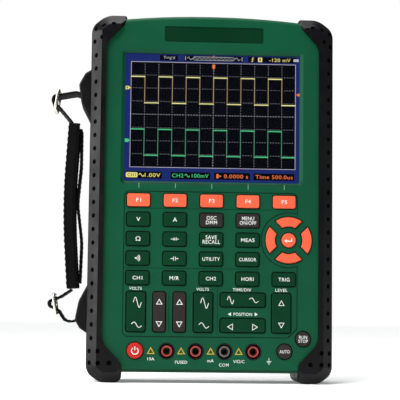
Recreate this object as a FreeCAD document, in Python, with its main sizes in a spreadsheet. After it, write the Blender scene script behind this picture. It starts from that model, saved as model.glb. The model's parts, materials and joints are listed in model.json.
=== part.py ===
import FreeCAD, Part
import math
import os
import Sketcher
from FreeCAD import Placement, Rotation, Vector

# Handheld digital oscilloscope with a multimeter input row, side grips, a hand strap and a rear stand.
# Millimetres, +Z up, X to the right as the user sees the instrument, front face towards -Y.
# The origin is on the standing plane, centred between the feet of the two side grips.

OUT = "parts"

# Driving dimensions, in millimetres and degrees. Y values are distances in front of or behind the
# middle plane, as their names say.
SPEC = {
    # housing
    "case_half_width": 77, "case_floor": 7, "case_top": 245, "shoulder_z": 240.2,
    "face_front": 23.5, "face_back": 23.5, "parting_front": 3, "wall": 2.5,
    "edge_round": 3, "corner_low": 12, "corner_high": 15, "arch_radius": 540,
    # grips
    "grip_half_width": 81.5, "grip_half_depth": 26, "grip_inner": 71.3, "grip_tip": 58,
    "grip_bevel": 7,
    # display
    "screen_width": 117.4, "screen_height": 86.3, "screen_z": 176.1, "screen_bevel": 2.1,
    "window_margin": 3, "window_thick": 1.5, "plate_width": 66.4, "plate_height": 10.6, "plate_z": 232.3,
    "plate_depth": 0.6, "lcd_width": 134, "lcd_height": 96, "lcd_thick": 7, "lcd_front": 19.2,
    # keys
    "key_width": 15, "key_height": 8.8, "soft_key_height": 8.4, "key_corner": 1.3, "key_gap": 0.35,
    "key_rim": 0.45, "rim_depth": 0.5, "key_proud": 1.1, "key_edge": 0.45, "key_back": 19.4,
    "flange_front": 20.4, "flange_reach": 1.2, "column_pitch": 24.2, "row_pitch": 12.87,
    "soft_row_z": 120.2, "first_row_z": 107.4,
    "rocker_length": 25.8, "rocker_width": 12.3, "slim_rocker_width": 7.9,
    "long_rocker_length": 29.4, "long_rocker_width": 8.8, "rocker_gap": 0.45, "rocker_row_z": 46.6,
    "rocker_axis": 19.9, "bar_radius": 0.8,
    "pad_x": 51.5, "pad_z": 94.9, "pad_outer": 15.3, "pad_inner": 9.2, "pad_split": 2.8,
    "enter_radius": 4.7, "round_radius": 4.8, "power_radius": 5.2,
    # keypad panel groove
    "groove_width": 0.6, "groove_depth": 0.4, "pad_clear": 18,
    # meter input jacks
    "jack_pitch": 19, "jack_z": 21, "jack_hole": 5.6, "jack_outer": 5.5, "slot_outer": 4.6,
    "sleeve_outer": 3.6, "sleeve_bore": 2.6, "contact_outer": 2.55, "contact_bore": 2,
    "jack_mouth": 23.3, "sleeve_mouth": 22.5, "contact_mouth": 21.4, "slot_floor": 8, "jack_tail": 0.4,
    "contact_tail": 1.4,
    # boards and mat
    "mat_thick": 1, "mat_front": 17.8, "dome_height": 0.7, "dome_radius": 2.4, "board_thick": 1.6,
    "main_board_y": 0.2,
    # rear: stand, battery bay, input well
    "stand_half_width": 58, "stand_foot_z": 28, "stand_axis_z": 141, "stand_axis_y": 21.3,
    "stand_thick": 3.2, "stand_leg": 9.5, "stand_foot": 12, "stand_bar": 9, "stand_room": 1,
    "recess_floor": 19.4, "pivot_radius": 1.5, "pivot_play": 0.05,
    "bay_half_width": 42, "bay_low": 48, "bay_high": 106, "bay_front": 3.6, "bay_wall": 1.6,
    "cover_half_width": 46, "cover_low": 44, "cover_high": 116, "cover_thick": 2.2, "cover_gap": 0.25,
    "well_half_width": 42, "well_floor": 226, "well_front": 0.5, "well_back": 17,
    "bnc_x": 20, "bnc_y": 8.2, "bnc_tip": 240.5,
    # screws
    "screw_shank": 1.5, "screw_head": 2.8, "head_thick": 2, "boss_radius": 3.4, "screw_play": 0.2,
    # side ports and their cover
    "port_low": 66, "port_high": 124, "port_front": 4, "port_back": 13, "flap_gap": 0.5, "flap_thick": 2,
    "flap_axis_x": 80.4, "flap_axis_y": 11.45, "flap_pin": 0.7,
    # strap
    "webbing_width": 20, "webbing_thick": 1.4, "pad_width": 28, "pad_thick": 7.4, "anchor_width": 25,
    "buckle_height": 15, "buckle_width": 25, "buckle_thick": 1.5, "buckle_rim": 2.4,
}

doc = FreeCAD.newDocument("oscilloscope")
sheet = doc.addObject("Spreadsheet::Sheet", "Spec")
for row, (alias, value) in enumerate(SPEC.items(), start=1):
    sheet.set(f"A{row}", alias)
    sheet.set(f"B{row}", str(value))
    sheet.setAlias(f"B{row}", alias)
doc.recompute()


def val(alias):
    """The sheet's value for one driving dimension."""
    return float(getattr(sheet, alias))


def bind(obj, **expressions):
    """Binds properties to sheet expressions. A double underscore in a name stands for a dot."""
    for name, expression in expressions.items():
        obj.setExpression(name.replace("__", "."), expression)
    return obj


def new(kind, name, **expressions):
    """A document object with its sizes bound to the sheet."""
    return bind(doc.addObject(kind, name), **expressions)


def label(obj, node):
    """Marks an object as the finished sub-part of that name."""
    obj.Label = node
    NODES.append((node, obj))
    return obj


NODES = []


# ---------------------------------------------------------------- outlines and sketches

def rounded(points):
    """Lines and arcs of a closed polygon of (x, z, corner radius) points."""
    flat = [Vector(p[0], p[1], 0) for p in points]
    radii = [p[2] if len(p) > 2 else 0 for p in points]
    count = len(flat)
    starts, ends, arcs = [], [], []
    for i in range(count):
        before = (flat[i - 1] - flat[i]).normalize()
        after = (flat[(i + 1) % count] - flat[i]).normalize()
        turn = before.getAngle(after)
        if radii[i] <= 0 or abs(turn - math.pi) < 1e-6:
            starts.append(flat[i])
            ends.append(flat[i])
            arcs.append(None)
            continue
        reach = radii[i] / math.tan(turn / 2)
        a = flat[i] + before * reach
        b = flat[i] + after * reach
        middle = (before + after).normalize()
        m = flat[i] + middle * (radii[i] / math.sin(turn / 2) - radii[i])
        starts.append(a)
        ends.append(b)
        arcs.append(Part.Arc(a, m, b))
    pieces = []
    for i in range(count):
        if arcs[i]:
            pieces.append(arcs[i])
        nxt = starts[(i + 1) % count]
        if (nxt - ends[i]).Length > 1e-6:
            pieces.append(Part.LineSegment(ends[i], nxt))
    return pieces


def rectangle(x, z, width, height, corner=0):
    """A rounded rectangle centred on (x, z)."""
    a, b = width / 2, height / 2
    return rounded([(x - a, z - b, corner), (x + a, z - b, corner), (x + a, z + b, corner), (x - a, z + b, corner)])


def circle(x, z, radius):
    return [Part.Circle(Vector(x, z, 0), Vector(0, 0, 1), radius)]


def sector(x, z, inner, outer, split, heading):
    """A ring sector whose ends run parallel to the diagonals. heading is its middle, in degrees."""
    def at(radius, side):
        half = math.pi / 4 - math.asin(split / radius)
        angle = math.radians(heading) + side * half
        return Vector(x + radius * math.cos(angle), z + radius * math.sin(angle), 0)

    def mid(radius):
        angle = math.radians(heading)
        return Vector(x + radius * math.cos(angle), z + radius * math.sin(angle), 0)

    return [
        Part.Arc(at(outer, -1), mid(outer), at(outer, 1)),
        Part.LineSegment(at(outer, 1), at(inner, 1)),
        Part.Arc(at(inner, 1), mid(inner), at(inner, -1)),
        Part.LineSegment(at(inner, -1), at(outer, -1)),
    ]


def sketch_on(body, name, loops, y_front):
    """A sketch of closed loops in the XZ plane, y_front in front of the middle plane (an expression)."""
    sketch = body.newObject("Sketcher::SketchObject", name)
    plane = next(f for f in body.Origin.OriginFeatures if f.Role == "XZ_Plane")
    sketch.AttachmentSupport = [(plane, "")]
    sketch.MapMode = "FlatFace"
    sketch.addGeometry([g for loop in loops for g in loop], False)
    sketch.setExpression("AttachmentOffset.Base.z", str(y_front))
    return sketch


def pad(body, name, loops, y_front, length, towards_front=True):
    """Adds material from the sketch plane, towards the front or the back."""
    feature = body.newObject("PartDesign::Pad", name)
    feature.Profile = sketch_on(body, name + "_sketch", loops, y_front)
    feature.Reversed = not towards_front
    feature.setExpression("Length", str(length))
    doc.recompute()
    return feature


def pocket(body, name, loops, y_front, length):
    """Removes material from the sketch plane towards the back, and checks that it removed some."""
    before = body.Shape.Volume
    feature = body.newObject("PartDesign::Pocket", name)
    feature.Profile = sketch_on(body, name + "_sketch", loops, y_front)
    feature.setExpression("Length", str(length))
    doc.recompute()
    if body.Shape.Volume >= before - 1e-6:
        raise RuntimeError(f"{name} removed nothing")
    return feature


def dress(body, kind, name, size, wanted):
    """A PartDesign fillet or chamfer on every edge that wanted(edge) picks."""
    edges = [f"Edge{i + 1}" for i, e in enumerate(body.Shape.Edges) if wanted(e)]
    if not edges:
        raise RuntimeError(f"{name} found no edge")
    base, before = body.Tip, body.Shape.Volume
    feature = body.newObject("PartDesign::" + kind, name)
    feature.Base = (base, edges)
    feature.setExpression("Radius" if kind == "Fillet" else "Size", str(size))
    doc.recompute()
    if abs(body.Shape.Volume - before) < 1e-6:
        raise RuntimeError(f"{name} changed nothing")
    return feature


def on_plane(edge, y):
    """True if the whole edge lies in the plane at that y."""
    box = edge.BoundBox
    return abs(box.YMin - y) < 1e-4 and abs(box.YMax - y) < 1e-4


def cut(name, base, tool):
    result = doc.addObject("Part::Cut", name)
    result.Base = base
    result.Tool = tool
    return result


def fuse(name, *shapes):
    result = doc.addObject("Part::MultiFuse", name)
    result.Shapes = list(shapes)
    result.Refine = True
    return result


def group(name, *shapes):
    """Separate solids that share one node."""
    result = doc.addObject("Part::Compound", name)
    result.Links = list(shapes)
    return result


def cylinder(name, radius, height, x, y, z, axis="Y"):
    """A cylinder that starts at (x, y, z), all expressions, and runs along +X, +Y or +Z."""
    turn = {"X": Rotation(Vector(0, 1, 0), 90), "Y": Rotation(Vector(1, 0, 0), -90), "Z": Rotation()}[axis]
    obj = new("Part::Cylinder", name, Radius=radius, Height=height)
    obj.Placement = Placement(Vector(), turn)
    return bind(obj, Placement__Base__x=str(x), Placement__Base__y=str(y), Placement__Base__z=str(z))


def box(name, length, width, height, x, y, z):
    """A box with its lowest corner at (x, y, z), all expressions."""
    obj = new("Part::Box", name, Length=str(length), Width=str(width), Height=str(height))
    return bind(obj, Placement__Base__x=str(x), Placement__Base__y=str(y), Placement__Base__z=str(z))


def fillet(name, base, radius, wanted):
    """A Part fillet on the edges that wanted(edge) picks."""
    doc.recompute()
    result = doc.addObject("Part::Fillet", name)
    result.Base = base
    result.Edges = [(i + 1, radius, radius) for i, e in enumerate(base.Shape.Edges) if wanted(e)]
    return result


# ---------------------------------------------------------------- the layout of the keys

def outline_case(inset=0.0):
    """The housing seen from the front, with a low arched top."""
    half = val("case_half_width") - inset
    low = val("case_floor") + inset
    top = val("case_top") - inset
    shoulder = val("shoulder_z") - inset
    r_low, r_high = val("corner_low") - inset, val("corner_high") - inset
    bend = 30
    arch = val("arch_radius")
    return rounded([(-half, low, r_low), (half, low, r_low), (half, shoulder, r_high), (bend, top, arch),
                    (-bend, top, arch), (-half, shoulder, r_high)])


column = val("column_pitch")
row_z = [val("first_row_z") - i * val("row_pitch") for i in range(4)]
GRID = [
    ["key_volt", "key_amp", "key_scope_meter", "key_menu"],
    ["key_ohm", "key_diode", "key_save_recall", "key_measure"],
    ["key_continuity", "key_capacitance", "key_utility", "key_cursor"],
    ["key_channel_1", "key_math_ref", "key_channel_2", "key_horizontal", "key_trigger"],
]
RECT_KEYS = {f"key_f{i + 1}": ((i - 2) * column, val("soft_row_z"), "soft_key_height") for i in range(5)}
for z, names in zip(row_z, GRID):
    for i, name in enumerate(names):
        RECT_KEYS[name] = ((i - 2) * column, z, "key_height")

# name: (x, z, width alias, height alias)
ROCKERS = {
    "rocker_channel_1_volts": (-49.1, val("rocker_row_z"), "rocker_width", "rocker_length"),
    "rocker_channel_1_position": (-33.8, val("rocker_row_z"), "slim_rocker_width", "rocker_length"),
    "rocker_channel_2_position": (-20.5, val("rocker_row_z"), "slim_rocker_width", "rocker_length"),
    "rocker_channel_2_volts": (-4.9, val("rocker_row_z"), "rocker_width", "rocker_length"),
    "rocker_trigger_level": (46.8, val("rocker_row_z"), "rocker_width", "rocker_length"),
    "rocker_time_base": (21.3, val("rocker_row_z") + 8.4, "long_rocker_length", "long_rocker_width"),
    "rocker_time_position": (21.3, val("rocker_row_z") - 8.4, "long_rocker_length", "long_rocker_width"),
}
ROUND_KEYS = {
    "key_power": (-49.3, 21.2, "power_radius"),
    "key_auto": (49.1, 21.4, "round_radius"),
    "key_run_stop": (61.3, 29.7, "round_radius"),
    "key_enter": (val("pad_x"), val("pad_z"), "enter_radius"),
}
ARROWS = {"key_right": 0, "key_up": 90, "key_left": 180, "key_down": 270}
JACK_X = [(i - 1.5) * val("jack_pitch") for i in range(4)]
BOSSES = [(sx * x, z) for x, z in ((52, 232), (67.5, 121), (19, 13)) for sx in (-1, 1)]


def openings(grow, rocker_grow):
    """Loops for every key, grown all round by that much."""
    corner = val("key_corner") + grow
    loops = [rectangle(x, z, val("key_width") + 2 * grow, val(h) + 2 * grow, corner)
             for x, z, h in RECT_KEYS.values()]
    loops += [rectangle(x, z, val(w) + 2 * rocker_grow, val(h) + 2 * rocker_grow, corner)
              for x, z, w, h in ROCKERS.values()]
    loops += [circle(x, z, val(r) + grow) for x, z, r in ROUND_KEYS.values()]
    loops += [sector(val("pad_x"), val("pad_z"), val("pad_inner") - grow, val("pad_outer") + grow,
                     val("pad_split") - grow, angle) for angle in ARROWS.values()]
    return loops


def outline_panel(inset):
    """The line round the keypad, which goes round the arrow keys."""
    left, right = -58 + inset, 57.6 - inset
    top, low = 126.4 - inset, 30.1 + inset
    r = val("pad_clear") + inset
    px, pz = val("pad_x"), val("pad_z")
    rise = math.sqrt(r ** 2 - (right - px) ** 2)  # to where the ring meets the panel's right-hand side
    a, b, c = Vector(right, pz + rise, 0), Vector(px - r, pz, 0), Vector(right, pz - rise, 0)
    corner, step = 4 - inset, 6
    path = [
        Part.Arc(a, b, c),
        Part.LineSegment(c, Vector(right, low + step, 0)),
        Part.LineSegment(Vector(right, low + step, 0), Vector(right - step, low, 0)),
        Part.LineSegment(Vector(right - step, low, 0), Vector(left + corner, low, 0)),
        Part.Arc(Vector(left + corner, low, 0),
                 Vector(left + corner * (1 - math.sqrt(0.5)), low + corner * (1 - math.sqrt(0.5)), 0),
                 Vector(left, low + corner, 0)),
        Part.LineSegment(Vector(left, low + corner, 0), Vector(left, top - corner, 0)),
        Part.Arc(Vector(left, top - corner, 0),
                 Vector(left + corner * (1 - math.sqrt(0.5)), top - corner * (1 - math.sqrt(0.5)), 0),
                 Vector(left + corner, top, 0)),
        Part.LineSegment(Vector(left + corner, top, 0), Vector(right - corner, top, 0)),
        Part.Arc(Vector(right - corner, top, 0),
                 Vector(right - corner * (1 - math.sqrt(0.5)), top - corner * (1 - math.sqrt(0.5)), 0),
                 Vector(right, top - corner, 0)),
        Part.LineSegment(Vector(right, top - corner, 0), a),
    ]
    return path


# ---------------------------------------------------------------- housing

def make_front_case():
    body = doc.addObject("PartDesign::Body", "FrontCase")
    pad(body, "front_block", [outline_case()], "Spec.parting_front", "Spec.face_front - Spec.parting_front")
    front = -val("face_front")
    dress(body, "Fillet", "front_edge", "Spec.edge_round", lambda e: on_plane(e, front))
    pocket(body, "front_cavity", [outline_case(val("wall"))], "Spec.face_front - Spec.wall", 40)
    pocket(body, "screen_opening", [rectangle(0, val("screen_z"), val("screen_width"), val("screen_height"), 0.8)],
           "Spec.face_front", "Spec.wall + 1")
    reach_x, reach_z = val("screen_width") / 2 + 0.1, val("screen_height") / 2 + 0.1

    def round_screen(edge):
        box_ = edge.BoundBox
        return (on_plane(edge, front) and box_.XMin > -reach_x and box_.XMax < reach_x
                and box_.ZMin > val("screen_z") - reach_z and box_.ZMax < val("screen_z") + reach_z)

    dress(body, "Chamfer", "screen_slope", "Spec.screen_bevel", round_screen)
    plate = rectangle(0.6, val("plate_z"), val("plate_width"), val("plate_height"), 1)
    pocket(body, "plate_recess", [plate], "Spec.face_front", "Spec.plate_depth")
    rim = val("key_gap") + val("key_rim")
    pocket(body, "key_rims", openings(rim, rim), "Spec.face_front", "Spec.rim_depth")
    pocket(body, "key_holes", openings(val("key_gap"), val("rocker_gap")), "Spec.face_front", "Spec.wall + 1")
    jacks = [circle(x, val("jack_z"), val("jack_hole")) for x in JACK_X]
    pocket(body, "jack_holes", jacks, "Spec.face_front", "Spec.wall + 1")
    pocket(body, "panel_groove", [outline_panel(0), outline_panel(val("groove_width"))],
           "Spec.face_front", "Spec.groove_depth")
    lines = [rectangle(-8, 114.8, 96, 0.35), rectangle(-12.6, 75.3, 90, 0.35),
             rectangle(-27.5, 45.5, 0.35, 26), rectangle(4.6, 48.4, 0.35, 32)]
    pocket(body, "divider_lines", lines, "Spec.face_front", 0.25)
    ticks = [rectangle((i - 2) * column, 130.3, 0.5, 3) for i in range(5)]
    pocket(body, "soft_key_ticks", ticks, "Spec.face_front", 0.3)
    bosses = [circle(x, z, val("boss_radius")) for x, z in BOSSES]
    pad(body, "front_bosses", bosses, "Spec.parting_front + 0.1", "Spec.face_front - Spec.parting_front - 1.5")
    pilots = [circle(x, z, val("screw_shank") + val("screw_play") / 2) for x, z in BOSSES]
    pocket(body, "front_pilots", pilots, "14", 14)
    return label(body, "front_case")


def make_rear_case():
    body = doc.addObject("PartDesign::Body", "RearCase")
    depth = "Spec.face_back + Spec.parting_front"
    pad(body, "rear_block", [outline_case()], "Spec.parting_front", depth, towards_front=False)
    back = val("face_back")
    dress(body, "Fillet", "back_edge", "Spec.edge_round", lambda e: on_plane(e, back))
    pocket(body, "rear_cavity", [outline_case(val("wall"))], "Spec.parting_front", depth + " - Spec.wall")
    # thick areas behind the stand recess, round the battery bay and under the input well
    half, foot, top = val("stand_half_width") + 4.5, val("stand_foot_z") - 15, val("stand_axis_z") + 8
    pad(body, "stand_bed", [rectangle(0, (foot + top) / 2, 2 * half, top - foot, 2)],
        "-(Spec.recess_floor - Spec.wall)", "Spec.face_back - Spec.recess_floor + Spec.wall - 1",
        towards_front=False)
    bw, lo, hi, wall = val("bay_half_width"), val("bay_low"), val("bay_high"), val("bay_wall")
    pad(body, "bay_block", [rectangle(0, (lo + hi) / 2, 2 * (bw + wall), hi - lo + 2 * wall, 2)],
        "-(Spec.bay_front - Spec.bay_wall)", "Spec.face_back - Spec.bay_front - 1", towards_front=False)
    for x in (-38, 38):
        pad(body, f"cover_boss_{'left' if x < 0 else 'right'}", [circle(x, 111.2, val("boss_radius"))],
            "-11", "Spec.face_back - 12.5", towards_front=False)
    well_low, well_top = val("well_floor"), val("case_top") + 4
    lid = val("case_top") - 2.4
    ww = val("well_half_width")
    pad(body, "well_block", [rectangle(0, (well_low - 2.5 + lid) / 2, 2 * (ww + 2), lid - well_low + 2.5, 0.5)],
        "Spec.parting_front", "Spec.face_back + Spec.parting_front - 1", towards_front=False)
    bosses = [circle(x, z, val("boss_radius")) for x, z in BOSSES]
    pad(body, "rear_bosses", bosses, "Spec.parting_front", "Spec.face_back + Spec.parting_front - 1",
        towards_front=False)
    # stand recess, with the island that carries the battery cover left standing
    sw, room = val("stand_half_width"), val("stand_room")
    recess = rectangle(0, (val("stand_foot_z") - room + val("stand_axis_z") + 3.2) / 2, 2 * (sw + room),
                       val("stand_axis_z") + 3.2 - val("stand_foot_z") + room, 3)
    island_low = val("stand_foot_z") + val("stand_foot") + room
    island_high = val("stand_axis_z") + 1.6 - val("stand_bar") - room
    island = rectangle(0, (island_low + island_high) / 2, 2 * (sw - val("stand_leg") - room),
                       island_high - island_low, 3)
    pocket(body, "stand_recess", [recess, island], "-Spec.recess_floor", 10)
    pocket(body, "finger_notch", [rectangle(0, val("stand_foot_z") - 5, 34, 16, 5)], "-Spec.recess_floor", 10)
    cw, gap = val("cover_half_width"), val("cover_gap")
    clo, chi = val("cover_low"), val("cover_high")
    pocket(body, "cover_ledge", [rectangle(0, (clo + chi) / 2, 2 * (cw + gap), chi - clo + 2 * gap, 2)],
           "-(Spec.face_back - Spec.cover_thick - 0.2)", 10)
    pocket(body, "battery_bay", [rectangle(0, (lo + hi) / 2, 2 * bw, hi - lo, 1)], "-Spec.bay_front", 40)
    pilots = [circle(x, 111.2, val("screw_shank") + val("screw_play") / 2) for x in (-38, 38)]
    pocket(body, "cover_pilots", pilots, "-11.5", 20)
    pocket(body, "screw_ways", [circle(x, z, val("screw_shank") + val("screw_play")) for x, z in BOSSES],
           "Spec.parting_front + 1", 40)
    heads = [circle(x, z, val("screw_head") + val("screw_play")) for x, z in BOSSES]
    pocket(body, "screw_seats", heads, "-(Spec.face_back - Spec.head_thick - 0.3)", 10)
    vents = [rectangle(sx * 50, 205 - i * 5, 16, 1.6, 0.7) for i in range(8) for sx in (-1, 1)]
    pocket(body, "vents", vents, "-15", 20)
    well_z = (well_low + well_top) / 2
    well = box("well_space", 2 * ww, "Spec.well_back - Spec.well_front", well_top - well_low,
               -ww, "Spec.well_front", well_low)
    bnc_ways = [cylinder(f"bnc_way_{i}", "4.85", "20", f"{s} * Spec.bnc_x", "Spec.bnc_y", "Spec.well_floor - 10", "Z")
                for i, s in enumerate((-1, 1))]
    port_way = box("port_way", 8, 10, 50, "Spec.case_half_width - 5", 1.4, "Spec.port_low + 4")
    pivots = cylinder("pivot_ways", "Spec.pivot_radius + Spec.pivot_play", "2 * Spec.stand_half_width + 7.6",
                      "-(Spec.stand_half_width + 3.8)", "Spec.stand_axis_y", "Spec.stand_axis_z", "X")
    tools = fuse("rear_cutters", well, port_way, *bnc_ways)
    holed = cut("rear_case_holed", body, tools)
    result = cut("rear_case_solid", holed, pivots)
    return label(result, "rear_case")


def flap_pin(name, radius, reach):
    """The upright pin line of the port cover, reach mm past the opening at both ends."""
    return cylinder(name, radius, f"Spec.port_high - Spec.port_low + {2 * reach}", "Spec.flap_axis_x",
                    "Spec.flap_axis_y", f"Spec.port_low - {reach}", "Z")


def seat(name):
    """The housing's outer shape, with its rounded edges, which a grip is wrapped round."""
    body = doc.addObject("PartDesign::Body", name)
    pad(body, name + "_block", [outline_case()], "Spec.face_front", "Spec.face_front + Spec.face_back",
        towards_front=False)
    front, back = -val("face_front"), val("face_back")
    dress(body, "Fillet", name + "_round", "Spec.edge_round", lambda e: on_plane(e, front) or on_plane(e, back))
    return body


def make_grip(side):
    """side is -1 for the left grip and 1 for the right one."""
    name = "left" if side < 0 else "right"
    body = doc.addObject("PartDesign::Body", name.capitalize() + "Grip")
    w, top = val("grip_half_width"), val("case_top")
    tip, inner = val("grip_tip"), val("grip_inner")
    outer = [(side * x, z, r) for x, z, r in (
        (50, 0, 0), (72.3, 0, 10), (w, 6.5, 10), (w, 237.2, 10), (71.5, top, 14), (50, top, 0))]
    pad(body, name + "_grip_block", [rounded(outer)], "Spec.grip_half_depth", "2 * Spec.grip_half_depth",
        towards_front=False)
    depth = val("grip_half_depth")

    def outside(edge, y):
        box_ = edge.BoundBox
        far = max(side * box_.XMin, side * box_.XMax)
        return on_plane(edge, y) and not (abs(far - 50) < 1e-3)

    dress(body, "Chamfer", name + "_grip_bevel", "Spec.grip_bevel",
          lambda e: outside(e, -depth) or outside(e, depth))
    bevel_y = depth - val("grip_bevel")
    dress(body, "Fillet", name + "_grip_soft", "2.5", lambda e: on_plane(e, -bevel_y) or on_plane(e, bevel_y))
    middle = [(side * x, z, r) for x, z, r in (
        (tip, -10, 0), (tip, 12.9, 8), (inner, 26.5, 11), (inner, 224.9, 11), (tip, 239.4, 3), (tip, 260, 0),
        (-10, 260, 0), (-10, -10, 0))]
    pocket(body, name + "_grip_middle", [rounded(middle)], "40", 80)
    pocket(body, name + "_grip_rough_seat", [outline_case(1)], "Spec.face_front - 1",
           "Spec.face_front + Spec.face_back - 2")

    def tip_edge(edge, z):
        box_ = edge.BoundBox
        along_y = box_.YLength > 1 and box_.XLength < 1e-4 and box_.ZLength < 1e-4
        return along_y and abs(side * box_.XMin - tip) < 1e-3 and abs(box_.ZMin - z) < 1e-3

    dress(body, "Fillet", name + "_grip_foot", "4.5", lambda e: tip_edge(e, 0))
    dress(body, "Fillet", name + "_grip_ear", "1.6", lambda e: tip_edge(e, top))
    seated = cut(name + "_grip_seated", body, seat(name + "_seat"))
    if side < 0:
        return label(seated, "left_grip")
    way = box("flap_way", 10, "Spec.port_front + Spec.port_back", "Spec.port_high - Spec.port_low",
              "Spec.case_half_width - 1", "-Spec.port_front", "Spec.port_low")
    bore = flap_pin("flap_bore", "Spec.flap_pin + Spec.pivot_play", 1.4)
    return label(cut("right_grip_solid", seated, fuse("flap_cutters", way, bore)), "right_grip")


# ---------------------------------------------------------------- display and boards

def make_display():
    margin = "2 * Spec.window_margin"
    window = box("display_window_box", "Spec.screen_width + " + margin, "Spec.window_thick",
                 "Spec.screen_height + " + margin, "-(Spec.screen_width / 2 + Spec.window_margin)",
                 "-(Spec.face_front - Spec.wall)", "Spec.screen_z - Spec.screen_height / 2 - Spec.window_margin")
    label(window, "display_window")
    block = box("lcd_block", "Spec.lcd_width", "Spec.lcd_thick", "Spec.lcd_height", "-Spec.lcd_width / 2",
                "-Spec.lcd_front", "Spec.screen_z - Spec.lcd_height / 2")
    glass = box("lcd_glass_recess", "Spec.screen_width + 1.5", 0.4, "Spec.screen_height + 1.5",
                "-(Spec.screen_width + 1.5) / 2", "-Spec.lcd_front", "Spec.screen_z - (Spec.screen_height + 1.5) / 2")
    label(cut("lcd_solid", block, glass), "lcd_module")


def board_outline(inset):
    """The keypad board and mat, with a bay for the arrow keys and the run/stop key."""
    low = 14.4 + inset
    return rounded([(-60 + inset, low, 1), (56, low, 1), (69.4 - inset, 23, 1), (69.4 - inset, 113 - inset, 1),
                    (61, 113 - inset, 1), (61, 126.6 - inset, 1), (-60 + inset, 126.6 - inset, 1)])


def dome_places():
    """One dome behind each key and one behind each end of a rocker."""
    places = [(x, z) for x, z, _ in RECT_KEYS.values()] + [(x, z) for x, z, _ in ROUND_KEYS.values()]
    middle = (val("pad_inner") + val("pad_outer")) / 2
    for angle in ARROWS.values():
        turn = math.radians(angle)
        places.append((val("pad_x") + middle * math.cos(turn), val("pad_z") + middle * math.sin(turn)))
    for x, z, w, h in ROCKERS.values():
        tall = val(h) > val(w)
        for s in (-1, 1):
            places.append((x, z + s * 8.6) if tall else (x + s * 10, z))
    return places


def make_keypad_boards():
    ways = [circle(x, val("jack_z"), val("jack_outer") + 0.4) for x in JACK_X]
    mat = doc.addObject("PartDesign::Body", "KeypadMat")
    pad(mat, "mat_sheet", [board_outline(0)] + ways, "Spec.mat_front", "Spec.mat_thick", towards_front=False)
    pad(mat, "mat_domes", [circle(x, z, val("dome_radius")) for x, z in dome_places()], "Spec.mat_front - 0.2",
        "Spec.dome_height + 0.2")
    clear = [circle(x, z, val("boss_radius") + 0.8) for x, z in BOSSES if z < 50]
    pocket(mat, "mat_notches", clear, "Spec.mat_front + 2", 6)
    label(mat, "keypad_mat")
    board = doc.addObject("PartDesign::Body", "KeypadBoard")
    pad(board, "keypad_board_sheet", [board_outline(0.5)] + ways, "Spec.mat_front - Spec.mat_thick",
        "Spec.board_thick", towards_front=False)
    pocket(board, "keypad_board_notches", clear, "Spec.mat_front + 2", 6)
    label(board, "keypad_board")
    main = doc.addObject("PartDesign::Body", "MainBoard")
    notches = [circle(x, z, val("boss_radius") + 1) for x, z in BOSSES if 100 < z < 150]
    outline = rectangle(0, 119, 147, 202, 3)
    pad(main, "main_board_sheet", [outline], "-Spec.main_board_y", "Spec.board_thick", towards_front=False)
    pocket(main, "main_board_notches", notches, "2", 6)
    chips = [rectangle(x, z, w, h, 0.5) for x, z, w, h in (
        (-30, 150, 24, 24), (12, 160, 20, 20), (44, 150, 14, 20), (-25, 195, 30, 18), (25, 195, 30, 18),
        (52, 185, 12, 12), (-52, 175, 12, 16))]
    pad(main, "main_board_chips", chips, "-(Spec.main_board_y + Spec.board_thick - 0.2)", "1.8",
        towards_front=False)
    label(main, "main_board")


# ---------------------------------------------------------------- keys

def flanged(name, cap_loop, flange_loop, edge=True):
    """A key: its cap stands through the front, and its flange holds it behind the wall."""
    body = doc.addObject("PartDesign::Body", name.title().replace("_", ""))
    pad(body, name + "_cap", [cap_loop], "Spec.key_back", "Spec.face_front + Spec.key_proud - Spec.key_back")
    tip = -(val("face_front") + val("key_proud"))
    dress(body, "Fillet", name + "_edge", "Spec.key_edge", lambda e: on_plane(e, tip))
    pad(body, name + "_flange", [flange_loop], "Spec.key_back", "Spec.flange_front - Spec.key_back")
    return label(body, name)


def rocker(name, x, z, width, height):
    """A two-way key: a cap that tips on a round bar, whose ends stand out past the cap behind the wall."""
    body = doc.addObject("PartDesign::Body", name.title().replace("_", ""))
    pad(body, name + "_cap", [rectangle(x, z, width, height, val("key_corner"))], "Spec.key_back",
        "Spec.face_front + Spec.key_proud - Spec.key_back")
    tip = -(val("face_front") + val("key_proud"))
    dress(body, "Fillet", name + "_edge", "Spec.key_edge", lambda e: on_plane(e, tip))
    across = min(width, height)
    length, y = f"{across} + 2 * Spec.flange_reach", "-Spec.rocker_axis"
    if height > width:
        bar = cylinder(name + "_bar", "Spec.bar_radius", length, f"{x - across / 2} - Spec.flange_reach", y, z, "X")
    else:
        bar = cylinder(name + "_bar", "Spec.bar_radius", length, x, y, f"{z - across / 2} - Spec.flange_reach", "Z")
    return label(fuse(name + "_solid", body, bar), name)


def make_keys():
    reach = val("flange_reach")
    corner = val("key_corner")
    for name, (x, z, h) in RECT_KEYS.items():
        w, height = val("key_width"), val(h)
        flanged(name, rectangle(x, z, w, height, corner), rectangle(x, z, w + 2 * reach, height + 2 * reach, corner))
    for name, (x, z, w, h) in ROCKERS.items():
        width, height = val(w), val(h)
        rocker(name, x, z, width, height)
    for name, (x, z, r) in ROUND_KEYS.items():
        flanged(name, circle(x, z, val(r)), circle(x, z, val(r) + reach))
    inner, outer, split = val("pad_inner"), val("pad_outer"), val("pad_split")
    for name, angle in ARROWS.items():
        key = flanged(name, sector(0, 0, inner, outer, split, 180),
                      sector(0, 0, inner - 0.9, outer + 0.9, split - 0.9, 180))
        key.Placement = Placement(Vector(val("pad_x"), 0, val("pad_z")), Rotation(Vector(0, 1, 0), 180 - angle))


# ---------------------------------------------------------------- inputs

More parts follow.
